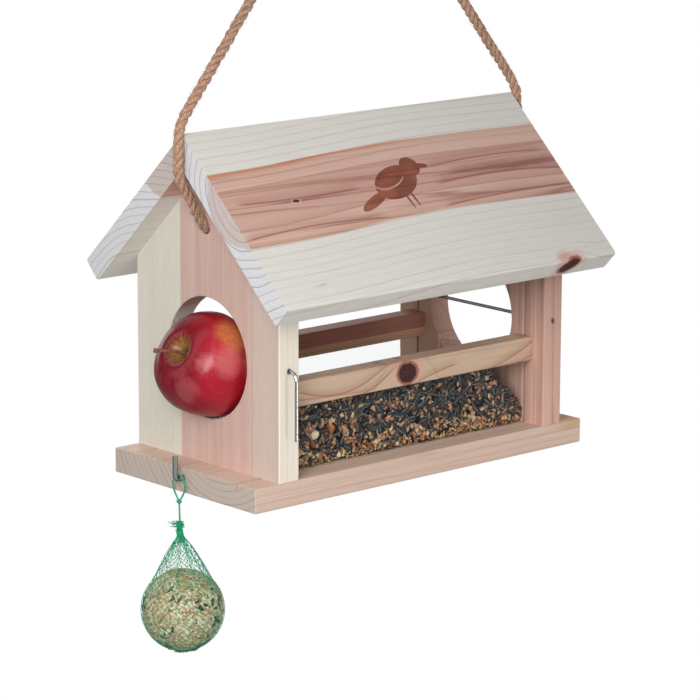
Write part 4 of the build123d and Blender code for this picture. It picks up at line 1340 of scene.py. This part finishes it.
def build_net(material, string_material):
    rng = np.random.default_rng(SEED + 3)
    knot, down, middle = ball_frame()
    side = unit(np.cross(down, (0, 1, 0)))
    other = np.cross(down, side)
    grid, cone = net_grid(rng, knot, down, middle, side, other)
    parts = []
    for i in range(NET_ROWS - 1):
        free = cone[i]
        wire = NET_WIRE * (1 + 0.5 * free)
        thick = wire * np.array([3.6 - free, 1.0, 3.6 - free])
        for j in range(NET_STRANDS):
            ends = (j, (j - 1) % NET_STRANDS) if i % 2 == 0 else (j, (j + 1) % NET_STRANDS)
            for b in ends:
                p, q = grid[i, j], grid[i + 1, b]
                bow = (p + q) / 2 + unit((p + q) / 2 - middle) * 0.1 * MM
                parts.append(tube(np.stack([p, bow, q]), thick, 4))
    points, faces = merge(parts)
    net = mesh_piece("net_bag", points, faces, material, "ball")
    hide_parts("fat_ball_net")

    def around():
        phi = rng.uniform(0, 2 * np.pi)
        return side * math.cos(phi) + other * math.sin(phi)

    def thread(stops, radius, rough):
        path, _ = resample(stops, 1.1 * MM)
        return tube(path + rng.normal(0, rough * MM, path.shape), radius * MM, 4)

    # gathered neck and its frill, and the small tuft under the ball
    parts = []
    for _ in range(120):
        out = around()
        start, stop = rng.uniform(22, 29) * MM, rng.uniform(13.2, 17) * MM
        waist = rng.uniform(0.3, 1.7) * MM
        stops = [
            knot + down * start + out * waist * rng.uniform(1.0, 2.2),
            knot + down * (start + stop) / 2 + out * waist + rng.normal(0, 0.5 * MM, 3),
            knot + down * stop + out * rng.uniform(0.6, 1.2 if out[X] > 0 else 2.8) * MM,
        ]
        parts.append(thread(stops, 0.22, 0.22))
    for _ in range(70):
        out = around()
        base = knot + down * rng.uniform(13.5, 18) * MM + out * rng.uniform(0.5, 2) * MM
        size = rng.uniform(2, 7) * (0.2 if out[X] > -0.3 else 1.0)      # trimmed on the base board's side
        tip = base + out * size * MM - down * rng.uniform(-1.5, 1.8) * MM
        bend = (base + tip) / 2 + rng.normal(0, 1.0 * MM, 3)
        parts.append(thread([base, bend, tip], 0.2, 0.12))
    for _ in range(110):
        out = around()
        under = middle + down * (BALL_R + 0.3 * MM)
        base = under + out * rng.uniform(3, 11) * MM - down * rng.uniform(0.4, 1.6) * MM
        tip = under + out * rng.uniform(0, 5) * MM + down * rng.uniform(0.2, 1.6) * MM
        parts.append(thread([base, (base + tip) / 2, tip], 0.22, 0.15))
    points, faces = merge(parts)
    tuft = mesh_piece("net_tuft", points, faces, material, "ball")

    # the single string down to the tuft, two plies and a loose tail
    top = knot + down * 1.2 * MM
    line = np.linspace(0, 1, 60)
    straight = top + down * 16.8 * MM * line[:, None]
    parts = [ply_of(straight, line * 16.8 / 2.8, k, 0.3, 0.36) for k in (0, 1)]
    tail = [
        top,
        top + down * 3 * MM + other * 0.9 * MM - side * 0.6 * MM,
        top + down * 6.2 * MM + other * 1.6 * MM - side * 1.2 * MM,
    ]
    path, _ = resample(tail, 0.6 * MM)
    parts.append(tube(path, 0.55 * MM, 8))
    points, faces = merge(parts)
    single = mesh_piece("net_string_line", points, faces, string_material, "ball")
    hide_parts("net_string")
    build_string_loop(string_material, knot)


def ply_of(path, turns, which, out, radius):
    """One of two plies laid round a path; turns counts the lay at each point."""
    _, side, up = carried_frame(path)
    turn = 2 * np.pi * (turns + which / 2)
    centre = path + (side * np.cos(turn)[:, None] + up * np.sin(turn)[:, None]) * out * MM
    return tube(centre, radius * MM, 8)


def trefoil(size, depth):
    """A small overhand knot's course."""
    turn = np.linspace(0, 2 * np.pi, 220)
    return np.stack(
        [
            -np.sin(3 * turn) * depth,
            (np.sin(turn) + 2 * np.sin(2 * turn)) * size,
            (np.cos(turn) - 2 * np.cos(2 * turn)) * size,
        ],
        1,
    ) * MM


def build_string_loop(material, knot):
    """Two-ply string over the hook's shank, tied in a small overhand knot."""
    _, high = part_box("string_loop")
    crown = high[Z] - 0.7 * MM
    half = [(0.4, 0.6), (3.6, 4.6), (5.9, 8.6), (6.3, 11.4), (5.0, 15.0), (2.4, 17.6)]
    course = [(knot[X], -y * MM, knot[Z] + z * MM) for y, z in half] + [(knot[X], 0, crown)]
    course += [(knot[X], y * MM, knot[Z] + z * MM) for y, z in half[::-1]]
    path, run = resample([np.array(p) for p in course], 0.4 * MM)
    parts = [ply_of(path, run / (3.2 * MM), k, 0.3, 0.38) for k in (0, 1)]
    parts.append(tube(trefoil(0.48, 0.8)[::3] + knot, 0.62 * MM, 8))
    points, faces = merge(parts)
    loop = mesh_piece("hook_string", points, faces, material, "string")
    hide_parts("string_loop")


# =============================================================================
# stage, lights, camera
# =============================================================================
KEY_AZIMUTH, KEY_ELEVATION = -56.0, 17.0
ROOM_BRIGHT, ROOM_DARK = 0.76, 0.12
STRIPS, STRIP_PHASE = 5.0, 0.6


def direction(azimuth, elevation):
    """Unit vector out to an azimuth (0 is the front, positive to the right) and elevation."""
    a, e = math.radians(azimuth), math.radians(elevation)
    return Vector((math.sin(a) * math.cos(e), -math.cos(a) * math.cos(e), math.sin(e)))


def pale_floor():
    """White sweep: plain white to the camera, and a soft bounce to the feeder."""
    g = Graph("pale_floor")
    seen = g.add("ShaderNodeLightPath").outputs["Is Camera Ray"]
    grain = g.noise(g.place, 8.0, 2.0).outputs[0]
    matt = g.add("ShaderNodeBsdfDiffuse", {"Color": g.mix(grain, (0.78, 0.78, 0.78), (0.82, 0.82, 0.82))})
    white = g.add("ShaderNodeEmission", {"Color": (1.0, 1.0, 1.0), "Strength": 1.0})
    both = g.add("ShaderNodeMixShader", {0: seen, 1: matt.outputs[0], 2: white.outputs[0]})
    g.tree.links.new(both.outputs[0], g.add("ShaderNodeOutputMaterial").inputs[0])
    return g.material


def build_stage():
    turn = np.linspace(0, 2 * np.pi, 64, endpoint=False)
    z = cad_low[Z] - FLOOR_BELOW
    points = np.stack([np.cos(turn) * FLOOR_RADIUS, np.sin(turn) * FLOOR_RADIUS, np.full(64, z)], 1)
    floor = mesh_piece("floor", points, [tuple(range(64))], pale_floor(), smooth=False)


def area_light(name, azimuth, elevation, distance, size, power, colour=(1, 1, 1)):
    light = bpy.data.lights.new(name, "AREA")
    light.shape = "DISK"
    light.size = size
    light.energy = power
    light.color = colour
    lamp = bpy.data.objects.new(name, light)
    way = direction(azimuth, elevation)
    lamp.location = CAMERA_TARGET + way * distance
    lamp.rotation_mode = "QUATERNION"
    lamp.rotation_quaternion = (-way).to_track_quat("-Z", "Y")
    bpy.context.scene.collection.objects.link(lamp)


def build_room():
    """White backdrop for the camera; to the feeder, bright toward the key and dim behind it.

    Shiny parts see tall bright and dark strips instead of an even wall.
    """
    world = bpy.data.worlds.new("studio")
    world.use_nodes = True
    tree = world.node_tree
    tree.nodes.clear()
    link = tree.links.new

    def node(kind, *inputs, **settings):
        made = tree.nodes.new(kind)
        for key, value in settings.items():
            setattr(made, key, value)
        for index, value in enumerate(inputs):
            if isinstance(value, bpy.types.NodeSocket):
                link(value, made.inputs[index])
            elif value is not None:
                made.inputs[index].default_value = value
        return made

    place = node("ShaderNodeTexCoord").outputs["Generated"]
    toward = node(
        "ShaderNodeVectorMath", place, tuple(direction(KEY_AZIMUTH + 10, -6)), operation="DOT_PRODUCT"
    ).outputs["Value"]
    soft = node(
        "ShaderNodeMapRange", toward, -0.6, 1.0, ROOM_DARK, ROOM_BRIGHT, interpolation_type="SMOOTHSTEP"
    ).outputs[0]
    way = node("ShaderNodeSeparateXYZ", place).outputs
    azimuth = node("ShaderNodeMath", way[X], way[Y], operation="ARCTAN2").outputs[0]
    wave = node("ShaderNodeMath", azimuth, STRIPS, STRIP_PHASE, operation="MULTIPLY_ADD").outputs[0]
    wave = node("ShaderNodeMath", wave, operation="SINE").outputs[0]
    strips = node("ShaderNodeMapRange", wave, -0.25, 0.45, 0.06, 1.9, interpolation_type="SMOOTHSTEP").outputs[0]
    seen = node("ShaderNodeLightPath").outputs
    light = node("ShaderNodeMix", seen["Is Glossy Ray"], None, soft, strips).outputs[0]
    light = node("ShaderNodeMix", seen["Is Camera Ray"], None, light, 1.0).outputs[0]
    glow = node("ShaderNodeBackground", (1.0, 1.0, 1.0, 1.0), light)
    link(glow.outputs[0], tree.nodes.new("ShaderNodeOutputWorld").inputs[0])
    bpy.context.scene.world = world


def camera_axes():
    """Right, up and back of a camera that looks from the set azimuth and elevation."""
    back = direction(CAMERA_AZIMUTH, CAMERA_ELEVATION)
    roll = math.radians(CAMERA_ROLL)
    level = Vector((0, 0, 1)).cross(back).normalized()
    rise = back.cross(level)
    right = level * math.cos(roll) + rise * math.sin(roll)
    up = rise * math.cos(roll) - level * math.sin(roll)
    return right, up, back


def build_lights():
    build_room()
    area_light("key", KEY_AZIMUTH, KEY_ELEVATION, 1.05, 0.55, 5.6, (1.0, 0.985, 0.965))
    area_light("front_fill", 12, -12, 1.5, 0.40, 3.0)
    area_light("rear_fill", 150, 14, 1.5, 0.70, 5.5)
    bpy.context.scene.view_settings.view_transform = "Standard"


def build_camera():
    right, up, back = camera_axes()
    data = bpy.data.cameras.new("camera")
    data.lens = CAMERA_LENS
    data.clip_end = 100.0
    camera = bpy.data.objects.new("camera", data)
    place = CAMERA_TARGET + back * CAMERA_DISTANCE + right * CAMERA_SHIFT[0] + up * CAMERA_SHIFT[1]
    camera.matrix_world = Matrix.Translation(place) @ Matrix((right, up, back)).transposed().to_4x4()
    bpy.context.scene.collection.objects.link(camera)
    bpy.context.scene.camera = camera


# =============================================================================
# build
# =============================================================================
def main():
    wood = finish_wood()
    wire = bright_steel("bright_wire", srgb(238, 240, 242), 0.14)
    screw = bright_steel("screw_steel", srgb(196, 190, 170), 0.28)
    pane = clear_acrylic()
    paint_cad(wood)
    paint_cad({n: wire for n in ("apple_skewer_left", "apple_skewer_right", "hook_left", "hook_right")})
    paint_cad({n: screw for n in ("base_screws", "roof_brads")})
    paint_cad({n: pane for n in ("pane_front", "pane_rear")})
    seed = seed_skin()
    build_rope(jute())
    build_apple(apple_skin(), stem_wood())
    build_seeds(seed)
    build_ball(bird_fat(), seed)
    build_net(
        net_fibre("net_green", srgb(4, 164, 116), srgb(36, 204, 152)),
        net_fibre("string_green", srgb(4, 150, 104), srgb(30, 190, 140)),
    )
    build_stage()
    build_lights()
    build_camera()


main()
